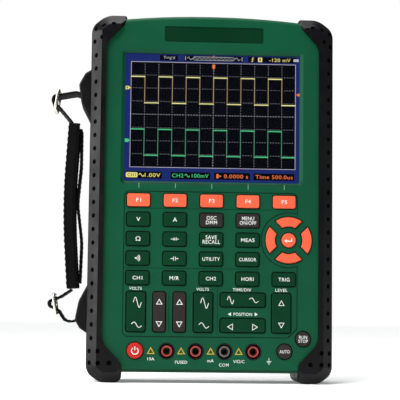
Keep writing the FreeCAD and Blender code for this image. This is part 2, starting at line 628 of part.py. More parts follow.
def tube(name, outer, bore, length, x, y, z, axis="Y"):
    """A tube: the bore runs through and past both ends."""
    skin = cylinder(name + "_skin", outer, length, x, y, z, axis)
    return cut(name, skin, cylinder(name + "_bore", bore, length, x, y, z, axis))


def make_jacks():
    housings, sleeves, contacts = [], [], []
    for i, x in enumerate(JACK_X, start=1):
        skin = cylinder(f"jack_{i}_skin", "Spec.jack_outer", "Spec.jack_mouth - Spec.jack_tail",
                        x, "-Spec.jack_mouth", "Spec.jack_z")
        slot = cylinder(f"jack_{i}_slot", "Spec.slot_outer", "Spec.jack_mouth - Spec.slot_floor",
                        x, "-Spec.jack_mouth", "Spec.jack_z")
        way = cylinder(f"jack_{i}_way", "Spec.contact_outer + 0.05", "Spec.jack_mouth", x, "-Spec.jack_mouth",
                       "Spec.jack_z")
        housings.append(cut(f"jack_{i}_housing", skin, fuse(f"jack_{i}_hollow", slot, way)))
        sleeves.append(tube(f"jack_{i}_sleeve", "Spec.sleeve_outer", "Spec.sleeve_bore",
                            "Spec.sleeve_mouth - Spec.slot_floor", x, "-Spec.sleeve_mouth", "Spec.jack_z"))
        contacts.append(tube(f"jack_{i}_contact", "Spec.contact_outer", "Spec.contact_bore",
                             "Spec.contact_mouth - Spec.contact_tail", x, "-Spec.contact_mouth", "Spec.jack_z"))
    label(group("jack_housing_set", *housings), "jack_housings")
    label(group("jack_sleeve_set", *sleeves), "jack_sleeves")
    label(group("jack_contact_set", *contacts), "jack_contacts")


def make_bnc():
    """Two bayonet coaxial sockets that stand on the floor of the input well."""
    sockets = []
    for i, side in enumerate((-1, 1), start=1):
        x = f"{side} * Spec.bnc_x"
        barrel = cylinder(f"bnc_{i}_barrel", "4.8", "Spec.bnc_tip - Spec.well_floor + 9", x, "Spec.bnc_y",
                          "Spec.well_floor - 9", "Z")
        flange = cylinder(f"bnc_{i}_flange", "7", "2", x, "Spec.bnc_y", "Spec.well_floor", "Z")
        hollow = cylinder(f"bnc_{i}_hollow", "4.1", "10", x, "Spec.bnc_y", "Spec.bnc_tip - 9", "Z")
        core = cylinder(f"bnc_{i}_core", "2.4", "7", x, "Spec.bnc_y", "Spec.bnc_tip - 9.5", "Z")
        lugs = cylinder(f"bnc_{i}_lugs", "1", "11.6", f"{side} * Spec.bnc_x - 5.8", "Spec.bnc_y",
                        "Spec.bnc_tip - 4", "X")
        shell = cut(f"bnc_{i}_shell", fuse(f"bnc_{i}_metal", barrel, flange, lugs), hollow)
        socket = cylinder(f"bnc_{i}_contact", "0.7", "8", x, "Spec.bnc_y", "Spec.bnc_tip - 9.5", "Z")
        sockets.append(cut(f"bnc_{i}", fuse(f"bnc_{i}_cored", shell, core), socket))
    label(group("bnc_set", *sockets), "bnc_sockets")


def make_side_ports():
    """A power inlet and two data ports behind the flap, with their faces just inside the wall."""
    face = val("case_half_width") - 0.6
    depth, y = 11, 6.4
    parts = []
    for name, z, height, width in (("usb_host", 107, 14.5, 7), ("usb_device", 92, 9, 4.6)):
        shell = box(name + "_shell", depth, width, height, face - depth, y - width / 2, z - height / 2)
        hollow = box(name + "_hollow", depth - 1.5, width - 0.8, height - 0.8, face - depth + 1.5,
                     y - width / 2 + 0.4, z - height / 2 + 0.4)
        tongue = box(name + "_tongue", depth - 2.5, 1.4, height - 4, face - depth, y - 0.7, z - height / 2 + 2)
        parts.append(fuse(name, cut(name + "_can", shell, hollow), tongue))
    inlet = box("inlet_block", depth, 9, 10, face - depth, y - 4.5, 74)
    way = cylinder("inlet_way", "2.75", f"{depth - 1.5}", face - depth + 1.5, y, 79, "X")
    pin = cylinder("inlet_pin", "1", f"{depth - 2}", face - depth + 1, y, 79, "X")
    parts.append(fuse("power_inlet", cut("inlet_shell", inlet, way), pin))
    label(group("side_port_set", *parts), "side_ports")


def make_port_cover():
    gap = "Spec.flap_gap"
    high = "Spec.port_high - Spec.port_low - 2 * Spec.flap_gap"
    face = box("flap_face", "Spec.flap_thick", "Spec.port_front + Spec.port_back - 2 * Spec.flap_gap", high,
               "Spec.grip_half_width - 0.1 - Spec.flap_thick", "-Spec.port_front + " + gap, "Spec.port_low + " + gap)
    soft = fillet("flap_soft", face, 0.8, lambda e: e.BoundBox.XMin > val("grip_half_width") - 0.2)
    plug = box("flap_plug", 1.6, 8.2, 46, "Spec.grip_half_width - 3.7", 2, "Spec.port_low + 6")
    tab = box("flap_tab", 0.9, 1.6, 12, "Spec.grip_half_width - 0.3", "-Spec.port_front + 0.6",
              "(Spec.port_low + Spec.port_high) / 2 - 6")
    pins = flap_pin("flap_pins", "Spec.flap_pin", 1.2)
    label(fuse("port_cover_solid", soft, plug, tab, pins), "port_cover")


# ---------------------------------------------------------------- rear parts

def make_kickstand():
    body = doc.addObject("PartDesign::Body", "Kickstand")
    sw, foot = val("stand_half_width"), val("stand_foot_z")
    high = val("stand_axis_z") + 1.6
    outer = rectangle(0, (foot + high) / 2, 2 * sw, high - foot, 2.5)
    low_in, high_in = foot + val("stand_foot"), high - val("stand_bar")
    inner = rectangle(0, (low_in + high_in) / 2, 2 * (sw - val("stand_leg")), high_in - low_in, 3)
    front_y = val("stand_axis_y") - val("stand_thick") / 2
    pad(body, "stand_frame", [outer, inner], f"-{front_y}", "Spec.stand_thick", towards_front=False)

    def hinge_edge(edge):
        b = edge.BoundBox
        return b.XLength > 20 and b.ZLength < 1e-4 and abs(b.ZMax - high) < 1e-3

    dress(body, "Fillet", "stand_hinge_round", "Spec.stand_thick / 2 - 0.02", hinge_edge)
    doc.recompute()
    pins = cylinder("stand_pins", "Spec.pivot_radius", "2 * Spec.stand_half_width + 7",
                    "-(Spec.stand_half_width + 3.5)", "Spec.stand_axis_y", "Spec.stand_axis_z", "X")
    label(fuse("kickstand_solid", body, pins), "kickstand")


def make_battery():
    pack = box("pack_box", "2 * Spec.bay_half_width - 4", 14, "Spec.bay_high - Spec.bay_low - 4",
               "-(Spec.bay_half_width - 2)", "Spec.bay_front + 1", "Spec.bay_low + 2")
    label(fillet("pack_soft", pack, 3, lambda e: e.BoundBox.ZLength > 20), "battery_pack")
    body = doc.addObject("PartDesign::Body", "BatteryCover")
    cw, lo, hi = val("cover_half_width"), val("cover_low"), val("cover_high")
    outline = rectangle(0, (lo + hi) / 2, 2 * cw, hi - lo, 1.8)
    pad(body, "cover_plate", [outline], "-(Spec.face_back - Spec.cover_thick - 0.2)", "Spec.cover_thick",
        towards_front=False)
    back = val("face_back") - 0.2
    dress(body, "Fillet", "cover_edge", "0.6", lambda e: on_plane(e, back))
    ribs = [rectangle(0, 54 + 4 * i, 40, 1.6, 0.7) for i in range(5)]
    pocket(body, "cover_ribs", ribs, "-(Spec.face_back - 0.9)", 3)
    pocket(body, "cover_ways", [circle(x, 111.2, val("screw_shank") + val("screw_play")) for x in (-38, 38)],
           "-18", 8)
    pocket(body, "cover_seats", [circle(x, 111.2, val("screw_head") + val("screw_play")) for x in (-38, 38)],
           "-(Spec.face_back - 1.4)", 3)
    label(body, "battery_cover")


def make_screw(name, x, z, head_back, head_thick, length):
    """A countersunk-style pan screw with a cross recess. head_back is the y of its outer face."""
    head = cylinder(name + "_head", "Spec.screw_head", str(head_thick), x, head_back - head_thick, z)
    shank = cylinder(name + "_shank", "Spec.screw_shank", str(length), x, head_back - head_thick - length, z)
    blades = [box(f"{name}_slot_{i}", w, 1, h, x - w / 2, head_back - 0.9, z - h / 2)
              for i, (w, h) in enumerate(((3.2, 0.7), (0.7, 3.2)))]
    return cut(name, fuse(name + "_blank", head, shank), fuse(name + "_cross", *blades))


def make_screws():
    back = val("face_back")
    screws = [make_screw(f"case_screw_{i}", x, z, back - 0.3, val("head_thick"), 28)
              for i, (x, z) in enumerate(BOSSES, start=1)]
    screws += [make_screw(f"cover_screw_{i}", x, 111.2, back - 0.25, 1.1, 8)
               for i, x in enumerate((-38, 38), start=1)]
    label(group("screw_set", *screws), "housing_screws")


# ---------------------------------------------------------------- hand strap

def ribbon(points, thick):
    """The closed outline of a band that follows (x, z, bend radius) points."""
    def side(sign):
        out = []
        for i, p in enumerate(points):
            here = Vector(p[0], p[1], 0)
            legs = []
            if i > 0:
                legs.append((here - Vector(points[i - 1][0], points[i - 1][1], 0)).normalize())
            if i < len(points) - 1:
                legs.append((Vector(points[i + 1][0], points[i + 1][1], 0) - here).normalize())
            normals = [Vector(-d.y, d.x, 0) for d in legs]
            mean = sum(normals, Vector()).normalize()
            reach = thick / 2 / mean.dot(normals[0])
            radius = p[2] if len(p) > 2 else 0
            if radius and len(legs) == 2:
                bends_left = legs[0].cross(legs[1]).z > 0
                radius += -sign * thick / 2 if bends_left else sign * thick / 2
            spot = here + mean * (sign * reach)
            out.append((spot.x, spot.y, radius))
        return out
    return rounded(side(1) + side(-1)[::-1])


# (x, z, bend radius) of each run, in the plane of the front
UPPER_RUN = [(-85.4, 190.5), (-90.5, 194.3, 5), (-107, 191.2, 1.7), (-107.6, 187, 1.7), (-102.5, 183.4, 4),
             (-93.6, 173)]
LOWER_RUN = [(-85.4, 42.8), (-91.2, 39.1, 6), (-96.6, 40.2, 5), (-100.6, 46.7, 4), (-107, 49.7, 1.7),
             (-107.2, 52.9, 1.7), (-99.5, 55.8, 4), (-92.2, 60.7)]
INNER_RUN = [(-87.6, 168.7), (-87.5, 143.6, 60), (-89.6, 118.6, 40), (-86.2, 92.7, 60), (-86.9, 65.1)]
PAD_LINE = [(-92.1, 172.2), (-95.3, 117.1, 420), (-91.4, 61.7)]


def strap_piece(name, outline, width):
    body = doc.addObject("PartDesign::Body", name)
    pad(body, name + "_run", [outline], f"{width} / 2", width, towards_front=False)
    return body


def make_strap():
    t = val("webbing_thick")
    runs = [strap_piece(name, ribbon(run, t), "Spec.webbing_width")
            for name, run in (("UpperRun", UPPER_RUN), ("LowerRun", LOWER_RUN), ("InnerRun", INNER_RUN))]
    label(group("webbing_set", *runs), "strap_webbing")
    sleeve = strap_piece("PadSleeve", ribbon(PAD_LINE, val("pad_thick")), "Spec.pad_width")
    half = val("pad_width") / 2
    dress(sleeve, "Fillet", "sleeve_round", "2.6", lambda e: on_plane(e, -half) or on_plane(e, half))
    label(sleeve, "strap_pad")
    anchors = []
    for name, outline, slot_z, tilt in (
            ("UpperAnchor", [(-81.5, 209.2, 0), (-85.6, 206.7, 3), (-89.8, 199, 5), (-88, 186.3, 8), (-81.5, 173.6, 0)],
             192.1, 1),
            ("LowerAnchor", [(-81.5, 64.1, 0), (-87.2, 53.3, 10), (-89.6, 40.6, 4), (-86.4, 35.2, 2), (-81.5, 31.9, 0)],
             41.2, -1)):
        body = strap_piece(name, rounded(outline), "Spec.anchor_width")
        half = val("anchor_width") / 2

        def flank(edge):
            b = edge.BoundBox
            return (on_plane(edge, -half) or on_plane(edge, half)) and b.XMin < -81.51

        dress(body, "Fillet", name + "_soft", "1.4", flank)
        way = box(name + "_slot", 6, "Spec.webbing_width + 1", 6, -91, "-(Spec.webbing_width + 1) / 2",
                  slot_z - 3 - tilt * 0.4)
        anchors.append(cut(name + "_slotted", body, way))
    label(group("anchor_set", *anchors), "strap_anchors")
    buckles = []
    for name, x, z, lean in (("upper_buckle", -104.4, 188.7, 9), ("lower_buckle", -103.1, 50.9, -7.7)):
        plate = box(name + "_plate", "Spec.buckle_thick", "Spec.buckle_width", "Spec.buckle_height",
                    "-Spec.buckle_thick / 2", "-Spec.buckle_width / 2", "-Spec.buckle_height / 2")
        soft = fillet(name + "_soft", plate, 0.4, lambda e: True)
        opening = "(Spec.buckle_height - 3 * Spec.buckle_rim) / 2"
        windows = [box(f"{name}_window_{i}", 4, "Spec.buckle_width - 2 * Spec.buckle_rim", opening, -2,
                       "-(Spec.buckle_width / 2 - Spec.buckle_rim)", low)
                   for i, low in enumerate(("Spec.buckle_rim / 2", "-Spec.buckle_rim / 2 - " + opening))]
        frame = cut(name, soft, fuse(name + "_windows", *windows))
        frame.Placement = Placement(Vector(x, 0, z), Rotation(Vector(0, 1, 0), lean))
        buckles.append(frame)
    label(group("buckle_set", *buckles), "strap_buckles")


# ---------------------------------------------------------------- build, check and write

def main():
    make_front_case()
    make_rear_case()
    make_grip(-1)
    make_grip(1)
    make_display()
    make_keypad_boards()
    make_keys()
    make_jacks()
    make_bnc()
    make_side_ports()
    make_port_cover()
    make_kickstand()
    make_battery()
    make_screws()
    make_strap()
    doc.recompute()
    failed = [o.Name for o in doc.Objects if "Invalid" in o.State or "Error" in o.State]
    bad = [node for node, o in NODES if o.Shape.isNull() or not o.Shape.isValid() or not o.Shape.Solids]
    if failed or bad:
        raise RuntimeError(f"failed objects {failed}, bad shapes {bad}")
    os.makedirs(OUT, exist_ok=True)
    for node, obj in NODES:
        obj.Shape.exportStep(os.path.join(OUT, node + ".step"))
    print(len(NODES), "nodes written")


main()
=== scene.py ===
import json
import math
import bmesh
import bpy
import numpy as np
from mathutils import Matrix, Vector
from mathutils.bvhtree import BVHTree

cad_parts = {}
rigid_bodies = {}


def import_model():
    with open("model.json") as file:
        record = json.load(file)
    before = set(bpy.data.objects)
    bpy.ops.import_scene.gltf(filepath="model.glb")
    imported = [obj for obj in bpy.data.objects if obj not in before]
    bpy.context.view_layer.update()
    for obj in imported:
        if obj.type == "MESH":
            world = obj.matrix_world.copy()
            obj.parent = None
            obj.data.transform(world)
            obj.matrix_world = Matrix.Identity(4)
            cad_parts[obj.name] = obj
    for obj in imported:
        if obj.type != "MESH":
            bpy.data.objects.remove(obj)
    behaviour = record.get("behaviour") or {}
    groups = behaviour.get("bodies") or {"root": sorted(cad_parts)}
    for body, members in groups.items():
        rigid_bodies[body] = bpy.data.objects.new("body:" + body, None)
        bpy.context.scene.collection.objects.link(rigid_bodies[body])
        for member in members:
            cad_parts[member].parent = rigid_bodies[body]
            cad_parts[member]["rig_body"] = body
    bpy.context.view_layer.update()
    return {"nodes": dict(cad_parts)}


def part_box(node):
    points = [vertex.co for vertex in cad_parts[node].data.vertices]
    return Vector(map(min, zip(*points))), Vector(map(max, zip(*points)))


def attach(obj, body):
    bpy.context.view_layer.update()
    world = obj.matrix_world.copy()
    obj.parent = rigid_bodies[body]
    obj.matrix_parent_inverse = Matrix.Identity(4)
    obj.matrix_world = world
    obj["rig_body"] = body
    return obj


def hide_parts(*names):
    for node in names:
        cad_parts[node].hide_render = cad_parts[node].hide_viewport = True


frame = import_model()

NODES = frame["nodes"]
MM = 0.001
HOME = "instrument"


def add_object(name, data):
    """A new object in the scene."""
    obj = bpy.data.objects.new(name, data)
    bpy.context.scene.collection.objects.link(obj)
    return obj


def centre(node):
    """Middle of a CAD node's box, in metres."""
    low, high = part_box(node)
    return (low + high) / 2


# ---------------------------------------------------------------- camera

CAMERA_AT = (-0.0516, -0.85, 0.0466)
CAMERA_YAW, CAMERA_PITCH, CAMERA_ROLL = 0.053, 0.0894, 0.0119
FOCAL_PIXELS, FRAME_PIXELS, SENSOR_MM = 1252.75, 400, 36


def make_camera():
    data = bpy.data.cameras.new("camera")
    data.sensor_width = SENSOR_MM
    data.lens = FOCAL_PIXELS / FRAME_PIXELS * SENSOR_MM
    data.clip_start, data.clip_end = 0.05, 20
    cam = add_object("camera", data)
    forward = Vector((math.sin(CAMERA_YAW) * math.cos(CAMERA_PITCH),
                      math.cos(CAMERA_YAW) * math.cos(CAMERA_PITCH), math.sin(CAMERA_PITCH)))
    level = Vector((math.cos(CAMERA_YAW), -math.sin(CAMERA_YAW), 0))
    above = level.cross(forward)
    right = level * math.cos(CAMERA_ROLL) + above * math.sin(CAMERA_ROLL)
    up = right.cross(forward)
    turn = Matrix((right, up, -forward)).transposed().to_4x4()
    cam.matrix_world = Matrix.Translation(CAMERA_AT) @ turn
    bpy.context.scene.camera = cam


# ---------------------------------------------------------------- materials

def linear(hexa):
    """A linear colour from #rrggbb."""
    parts = [int(hexa[i:i + 2], 16) / 255 for i in (1, 3, 5)]
    return tuple(c / 12.92 if c <= 0.04045 else ((c + 0.055) / 1.055) ** 2.4 for c in parts) + (1,)


def scaled(colour, factor, lift=0.0):
    """The colour made lighter or darker."""
    return tuple(min(1, c * factor + lift) for c in colour[:3]) + (1,)


class Nodes:
    """Short names for adding and linking shader nodes in one material."""

    def __init__(self, name):
        self.material = bpy.data.materials.new(name)
        self.material.use_nodes = True
        self.tree = self.material.node_tree
        self.tree.nodes.clear()
        self.out = self.tree.nodes.new("ShaderNodeOutputMaterial")
        self.shader = self.tree.nodes.new("ShaderNodeBsdfPrincipled")
        self.link(self.shader.outputs[0], self.out.inputs["Surface"])
        self.place = self.add("ShaderNodeTexCoord").outputs["Object"]

    def add(self, kind, **settings):
        node = self.tree.nodes.new(kind)
        for key, value in settings.items():
            setattr(node, key, value)
        return node

    def link(self, a, b):
        self.tree.links.new(a, b)

    def feed(self, socket, value):
        if isinstance(value, bpy.types.NodeSocket):
            self.link(value, socket)
        else:
            socket.default_value = value

    def stretch(self, scale):
        node = self.add("ShaderNodeMapping")
        self.link(self.place, node.inputs["Vector"])
        node.inputs["Scale"].default_value = scale
        return node.outputs["Vector"]

    def noise(self, scale, detail=3, rough=0.5, source=None):
        node = self.add("ShaderNodeTexNoise")
        self.link(source or self.place, node.inputs["Vector"])
        node.inputs["Scale"].default_value = scale
        node.inputs["Detail"].default_value = detail
        node.inputs["Roughness"].default_value = rough
        return node.outputs["Fac"]

    def remap(self, value, low, high, to_low, to_high):
        node = self.add("ShaderNodeMapRange")
        self.feed(node.inputs["Value"], value)
        for name, number in (("From Min", low), ("From Max", high), ("To Min", to_low), ("To Max", to_high)):
            node.inputs[name].default_value = number
        return node.outputs["Result"]

    def math(self, operation, a, b=0.0):
        node = self.add("ShaderNodeMath", operation=operation)
        self.feed(node.inputs[0], a)
        self.feed(node.inputs[1], b)
        return node.outputs[0]

    def mix(self, factor, a, b, blend="MIX"):
        node = self.add("ShaderNodeMix", data_type="RGBA", blend_type=blend)
        self.feed(node.inputs["Factor"], factor)
        self.feed(node.inputs[6], a)
        self.feed(node.inputs[7], b)
        return node.outputs[2]

    def axes(self):
        """The object's X, Y and Z, in metres, as sockets."""
        node = self.add("ShaderNodeSeparateXYZ")
        self.link(self.place, node.inputs[0])
        return node.outputs

    def gray(self, value):
        node = self.add("ShaderNodeCombineColor")
        for i in range(3):
            self.link(value, node.inputs[i])
        return node.outputs[0]

    def bump(self, height, distance, strength=1.0, normal=None):
        node = self.add("ShaderNodeBump")
        node.inputs["Strength"].default_value = strength
        node.inputs["Distance"].default_value = distance
        self.link(height, node.inputs["Height"])
        if normal is not None:
            self.link(normal, node.inputs["Normal"])
        return node.outputs["Normal"]

    def set(self, **values):
        names = {"colour": "Base Color", "rough": "Roughness", "normal": "Normal", "metal": "Metallic",
                 "specular": "Specular IOR Level", "sheen": "Sheen Weight", "sheen_rough": "Sheen Roughness",
                 "ior": "IOR", "transmission": "Transmission Weight", "glow": "Emission Color",
                 "glow_strength": "Emission Strength"}
        for key, value in values.items():
            self.feed(self.shader.inputs[names[key]], value)
        return self.material


def moulded(name, colour, rough=0.42, grain=0.012, grain_scale=2600, lighter=1.35, specular=0.13,
            grooves=False):
    """Moulded plastic: a fine spark-eroded grain, uneven gloss, and colour that drifts a little; with grooves,
    painted shade in the keypad's grooves.
    """
    n = Nodes(name)
    base = linear(colour)
    light = scaled(base, lighter, 0.002)
    dark = scaled(base, 0.82)
    drift = n.remap(n.noise(24, 4), 0.3, 0.7, 0, 1)
    speck = n.remap(n.noise(3800, 1), 0.55, 0.8, 0, 0.5)
    tone = n.mix(speck, n.mix(drift, dark, base), light)
    shine = n.remap(n.noise(70, 5, 0.65), 0.3, 0.7, rough - 0.06, rough + 0.08)
    fine = n.noise(grain_scale, 2, 0.6)
    wide = n.noise(140, 2)
    normal = n.bump(fine, grain * MM, 0.6, n.bump(wide, 0.05 * MM, 0.25))
    # painted shade: the grooves' walls and floors are darkened to 0.35 of the base colour
    if grooves:
        tone = n.mix(painted_groove_shade(n), tone, scaled(base, 0.35))
    return n.set(colour=tone, rough=shine, normal=normal, specular=specular)


# y of a groove's edge, of its wall where the painted shade is full and of its floor, and the z that it stays
# below, in millimetres
GROOVE_EDGE, GROOVE_WALL, GROOVE_FLOOR, GROOVE_TOP = -23.4, -23.2, -22.6, 135


def painted_groove_shade(n):
    """How far a point of the front lies in the keypad's grooves, which are painted darker as shade: 0 to 1."""
    space = n.axes()
    deep = n.remap(space["Y"], GROOVE_EDGE * MM, GROOVE_WALL * MM, 0, 1)
    behind = n.math("LESS_THAN", space["Y"], GROOVE_FLOOR * MM)
    low = n.math("LESS_THAN", space["Z"], GROOVE_TOP * MM)
    return n.math("MULTIPLY", n.math("MULTIPLY", deep, behind), low)


def rubber(name, colour, rough=0.5, specular=0.45, lighter=1.6):
    """Overmoulded rubber: silky, with rubbed patches and a very fine pebble."""
    n = Nodes(name)
    base = linear(colour)
    worn = scaled(base, lighter, 0.0015)
    patches = n.remap(n.noise(38, 6, 0.62), 0.45, 0.75, 0, 0.8)
    dust = n.remap(n.noise(900, 3), 0.5, 0.85, 0, 0.018)
    tone = n.mix(dust, n.mix(patches, base, worn), linear("#6d6a66"))
    shine = n.remap(n.noise(55, 5, 0.6), 0.3, 0.7, rough - 0.1, rough + 0.12)
    normal = n.bump(n.noise(1700, 3, 0.6), 0.03 * MM, 0.5)
    return n.set(colour=tone, rough=shine, normal=normal, specular=specular)


def metal(name, colour, rough=0.25, brushed=(60, 60, 2600)):
    """Plated metal with fine drawing lines, smears and dull spots."""
    n = Nodes(name)
    base = linear(colour)
    dull = scaled(base, 0.62)
    spots = n.remap(n.noise(260, 5, 0.7), 0.5, 0.75, 0, 0.75)
    lines = n.noise(1, 3, 0.6, n.stretch(brushed))
    shine = n.remap(lines, 0.3, 0.7, rough - 0.07, rough + 0.14)
    normal = n.bump(lines, 0.008 * MM, 0.5)
    return n.set(colour=n.mix(spots, base, dull), rough=shine, metal=1.0, normal=normal)


def fabric(name, colour, pitch, sheen):
    """Woven polyester: two crossed sets of yarns in relief, with gaps painted darker as shade and stray lighter
    fibres.
    """
    n = Nodes(name)
    base = linear(colour)
    yarn = 2 * math.pi / (pitch * MM)
    space = n.axes()
    weft = n.math("SINE", n.math("MULTIPLY", space["Z"], yarn))
    warp = n.math("SINE", n.math("MULTIPLY", space["Y"], yarn))
    weave = n.math("ADD", n.math("MULTIPLY", weft, warp), n.math("MULTIPLY", warp, 0.6))
    height = n.remap(weave, -1.6, 1.6, 0, 1)
    pale = scaled(base, 2.0, 0.002)
    # painted shade: the colour darkens where the weave's relief is low
    deep = scaled(base, 0.45)
    fibres = n.remap(n.noise(2400, 3, 0.7), 0.55, 0.8, 0, 0.6)
    wear = n.remap(n.noise(60, 4), 0.5, 0.75, 0, 0.4)
    tone = n.mix(fibres, n.mix(height, deep, base), pale)
    tone = n.mix(wear, tone, pale)
    rough = n.remap(height, 0, 1, 0.95, 0.72)
    normal = n.bump(height, 0.12 * MM, 0.8)
    return n.set(colour=tone, rough=rough, normal=normal, specular=0.1, sheen=sheen, sheen_rough=0.4)


def ink(name, colour, rough=0.5):
    """Screen-printed ink: slightly uneven cover."""
    n = Nodes(name)
    base = linear(colour)
    thin = scaled(base, 0.78)
    cover = n.remap(n.noise(1500, 3), 0.35, 0.65, 0, 1)
    shine = n.remap(n.noise(600, 2), 0.3, 0.7, rough - 0.1, rough + 0.1)
    return n.set(colour=n.mix(cover, thin, base), rough=shine, specular=0.3)


def lit(name, colour, strength=1.0, black="#020203"):
    """A lit display colour, broken into fine cells."""
    n = Nodes(name)
    cell = 0.23 * MM
    space = n.axes()
    cells = []
    for axis in ("X", "Z"):
        wave = n.math("SINE", n.math("MULTIPLY", space[axis], 2 * math.pi / cell))
        cells.append(n.remap(wave, -1.0, -0.55, 0.86, 1.0))
    grid = n.math("MULTIPLY", cells[0], cells[1])
    haze = n.remap(n.noise(45, 3), 0.3, 0.7, 0.93, 1.06)
    shade = n.math("MULTIPLY", grid, haze)
    tone = n.mix(1.0, linear(colour), n.gray(shade), "MULTIPLY")
    return n.set(colour=linear(black), rough=0.6, specular=0.0, glow=tone, glow_strength=strength)


def glass(name):
    """The clear window over the display, with faint wipe marks."""
    n = Nodes(name)
    smear = n.noise(1, 4, 0.6, n.stretch((30, 30, 90)))
    rough = n.remap(smear, 0.4, 0.75, 0.0, 0.035)
    return n.set(colour=(1, 1, 1, 1), rough=rough, transmission=1.0, ior=1.12, specular=0.3)


def circuit_board(name):
    n = Nodes(name)
    traces = n.add("ShaderNodeTexBrick")
    n.link(n.stretch((260, 260, 260)), traces.inputs["Vector"])
    traces.inputs["Color1"].default_value = linear("#0f4a2a")
    traces.inputs["Color2"].default_value = linear("#12562f")
    traces.inputs["Mortar"].default_value = linear("#2f7a4a")
    traces.inputs["Scale"].default_value = 1.0
    return n.set(colour=traces.outputs["Color"], rough=n.remap(n.noise(90), 0.3, 0.7, 0.25, 0.45),
                 normal=n.bump(traces.outputs["Fac"], 0.03 * MM, 0.4))


def jack_rings(name, third_x):
    """Input sleeves: red, but grey on the one that stands at third_x."""
    n = Nodes(name)
    space = n.axes()
    off = n.math("ABSOLUTE", n.math("SUBTRACT", space["X"], third_x))
    grey_here = n.math("LESS_THAN", off, 7 * MM)
    mottle = n.remap(n.noise(300, 3), 0.3, 0.7, 0, 1)
    red = n.mix(mottle, linear("#8a2424"), linear("#aa3835"))
    grey = n.mix(mottle, linear("#4c4949"), linear("#686462"))
    return n.set(colour=n.mix(grey_here, red, grey), rough=n.remap(mottle, 0, 1, 0.35, 0.5),
                 normal=n.bump(n.noise(2600, 2), 0.01 * MM, 0.5))


# the front's grooves get painted shade
GREEN = moulded("housing_green", "#04492f", rough=0.45, grooves=True)
REAR_GREEN = moulded("rear_green", "#04492f", rough=0.45)
KEY_GREEN = moulded("key_green", "#02331c", rough=0.5, grain=0.008, specular=0.08)
PLATE_GREEN = moulded("plate_green", "#022c17", rough=0.38, specular=0.08)
KEY_ORANGE = moulded("key_orange", "#e45f40", rough=0.5, grain=0.008, lighter=1.1)
KEY_GREY = moulded("key_grey", "#2c2827", rough=0.5, grain=0.008, specular=0.08)
KEY_RED = moulded("key_red", "#b92722", rough=0.42, grain=0.008, lighter=1.15)
DARK_PLASTIC = moulded("dark_plastic", "#17181a", rough=0.5)
SHROUD = moulded("jack_shroud", "#141415", rough=0.38)
GRIP = rubber("grip_rubber", "#030204", rough=0.4, specular=0.15)
# painted shade: the dimples' insides get this near-black, dull copy of the grip rubber
GRIP_HOLE_PAINTED_SHADE = rubber("grip_hole_painted_shade", "#010101", rough=0.8, specular=0.03, lighter=1.0)
MAT = rubber("mat_rubber", "#2b2d2c")
WINDOW = glass("window_glass")
BOARD = circuit_board("board")
BATTERY = moulded("battery_wrap", "#2c5fa8", rough=0.3, grain=0.003)
PLATED = metal("plated_metal", "#c9c6bd", 0.22)
PORT_METAL = metal("port_metal", "#b5b6b8", 0.3, (900, 900, 900))
CONTACT = metal("contact_metal", "#4a3c26", 0.4)
SCREW = metal("screw_metal", "#8c8c90", 0.32, (900, 900, 900))
BUCKLE = metal("buckle_metal", "#d8d2c4", 0.2, (400, 2200, 400))
WEBBING = fabric("webbing", "#040405", 0.9, 0.03)
BINDING = fabric("strap_binding", "#020203", 0.6, 0.01)
# a real outer webbing layer, made lighter grey in part as painted light for the pad's lit outer edge
OUTER_BAND = fabric("strap_outer_band", "#222426", 0.9, 0.08)
PAD_FABRIC = fabric("pad_fabric", "#020203", 1.3, 0.015)
THREAD = fabric("strap_thread", "#2c2e2f", 0.4, 0.1)
# painted highlight: light green lines that stand in for small moulded ridges under the screen catching the light
TICK_HIGHLIGHT = ink("tick_highlight", "#6f9f86")
WHITE_INK = ink("white_ink", "#e9ece6")
YELLOW_INK = ink("yellow_ink", "#c4a02f")


def paint_cad():
    """Each CAD node that stays gets the material of its slot."""
    slots = {
        "front_case": GREEN, "rear_case": REAR_GREEN, "display_window": WINDOW, "lcd_module": DARK_PLASTIC,
        "keypad_mat": MAT, "keypad_board": BOARD, "main_board": BOARD, "battery_pack": BATTERY,
        "battery_cover": REAR_GREEN, "kickstand": DARK_PLASTIC, "port_cover": GRIP, "side_ports": PORT_METAL,
        "bnc_sockets": PLATED, "housing_screws": SCREW, "jack_housings": SHROUD, "jack_contacts": CONTACT,
        "strap_anchors": GRIP, "jack_sleeves": jack_rings("jack_sleeves", 9.5 * MM),
    }
    for node, obj in NODES.items():
        material = slots.get(node) or key_material(node)
        obj.data.materials.clear()
        obj.data.materials.append(material)
        smooth(obj)


def key_material(node):
    if node.startswith("key_f") or node in ("key_up", "key_down", "key_left", "key_right", "key_enter"):
        return KEY_ORANGE
    if node in ("key_scope_meter", "key_menu", "key_auto", "key_run_stop",
                "rocker_channel_1_position", "rocker_channel_2_position"):
        return KEY_GREY
    return KEY_RED if node == "key_power" else KEY_GREEN


def smooth(obj, angle=32):
    """Shades smooth, but keeps edges sharper than the angle."""
    mesh = obj.data
    mesh.polygons.foreach_set("use_smooth", [True] * len(mesh.polygons))
    if mesh.has_custom_normals:
        with bpy.context.temp_override(object=obj, active_object=obj, selected_editable_objects=[obj]):
            bpy.context.view_layer.objects.active = obj
            bpy.ops.mesh.customdata_custom_splitnormals_clear()
    mesh.set_sharp_from_angle(angle=math.radians(angle))


# ---------------------------------------------------------------- new pieces

def finish_piece(name, bm, material, body, smooth_angle=None):
    """Makes an object that rides on a body and belongs to a material slot."""
    bmesh.ops.recalc_face_normals(bm, faces=bm.faces)
    mesh = bpy.data.meshes.new(name)
    bm.to_mesh(mesh)
    bm.free()
    mesh.materials.append(material)
    if smooth_angle:
        round_shading(mesh, smooth_angle)
    obj = add_object(name, mesh)
    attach(obj, body)
    return obj


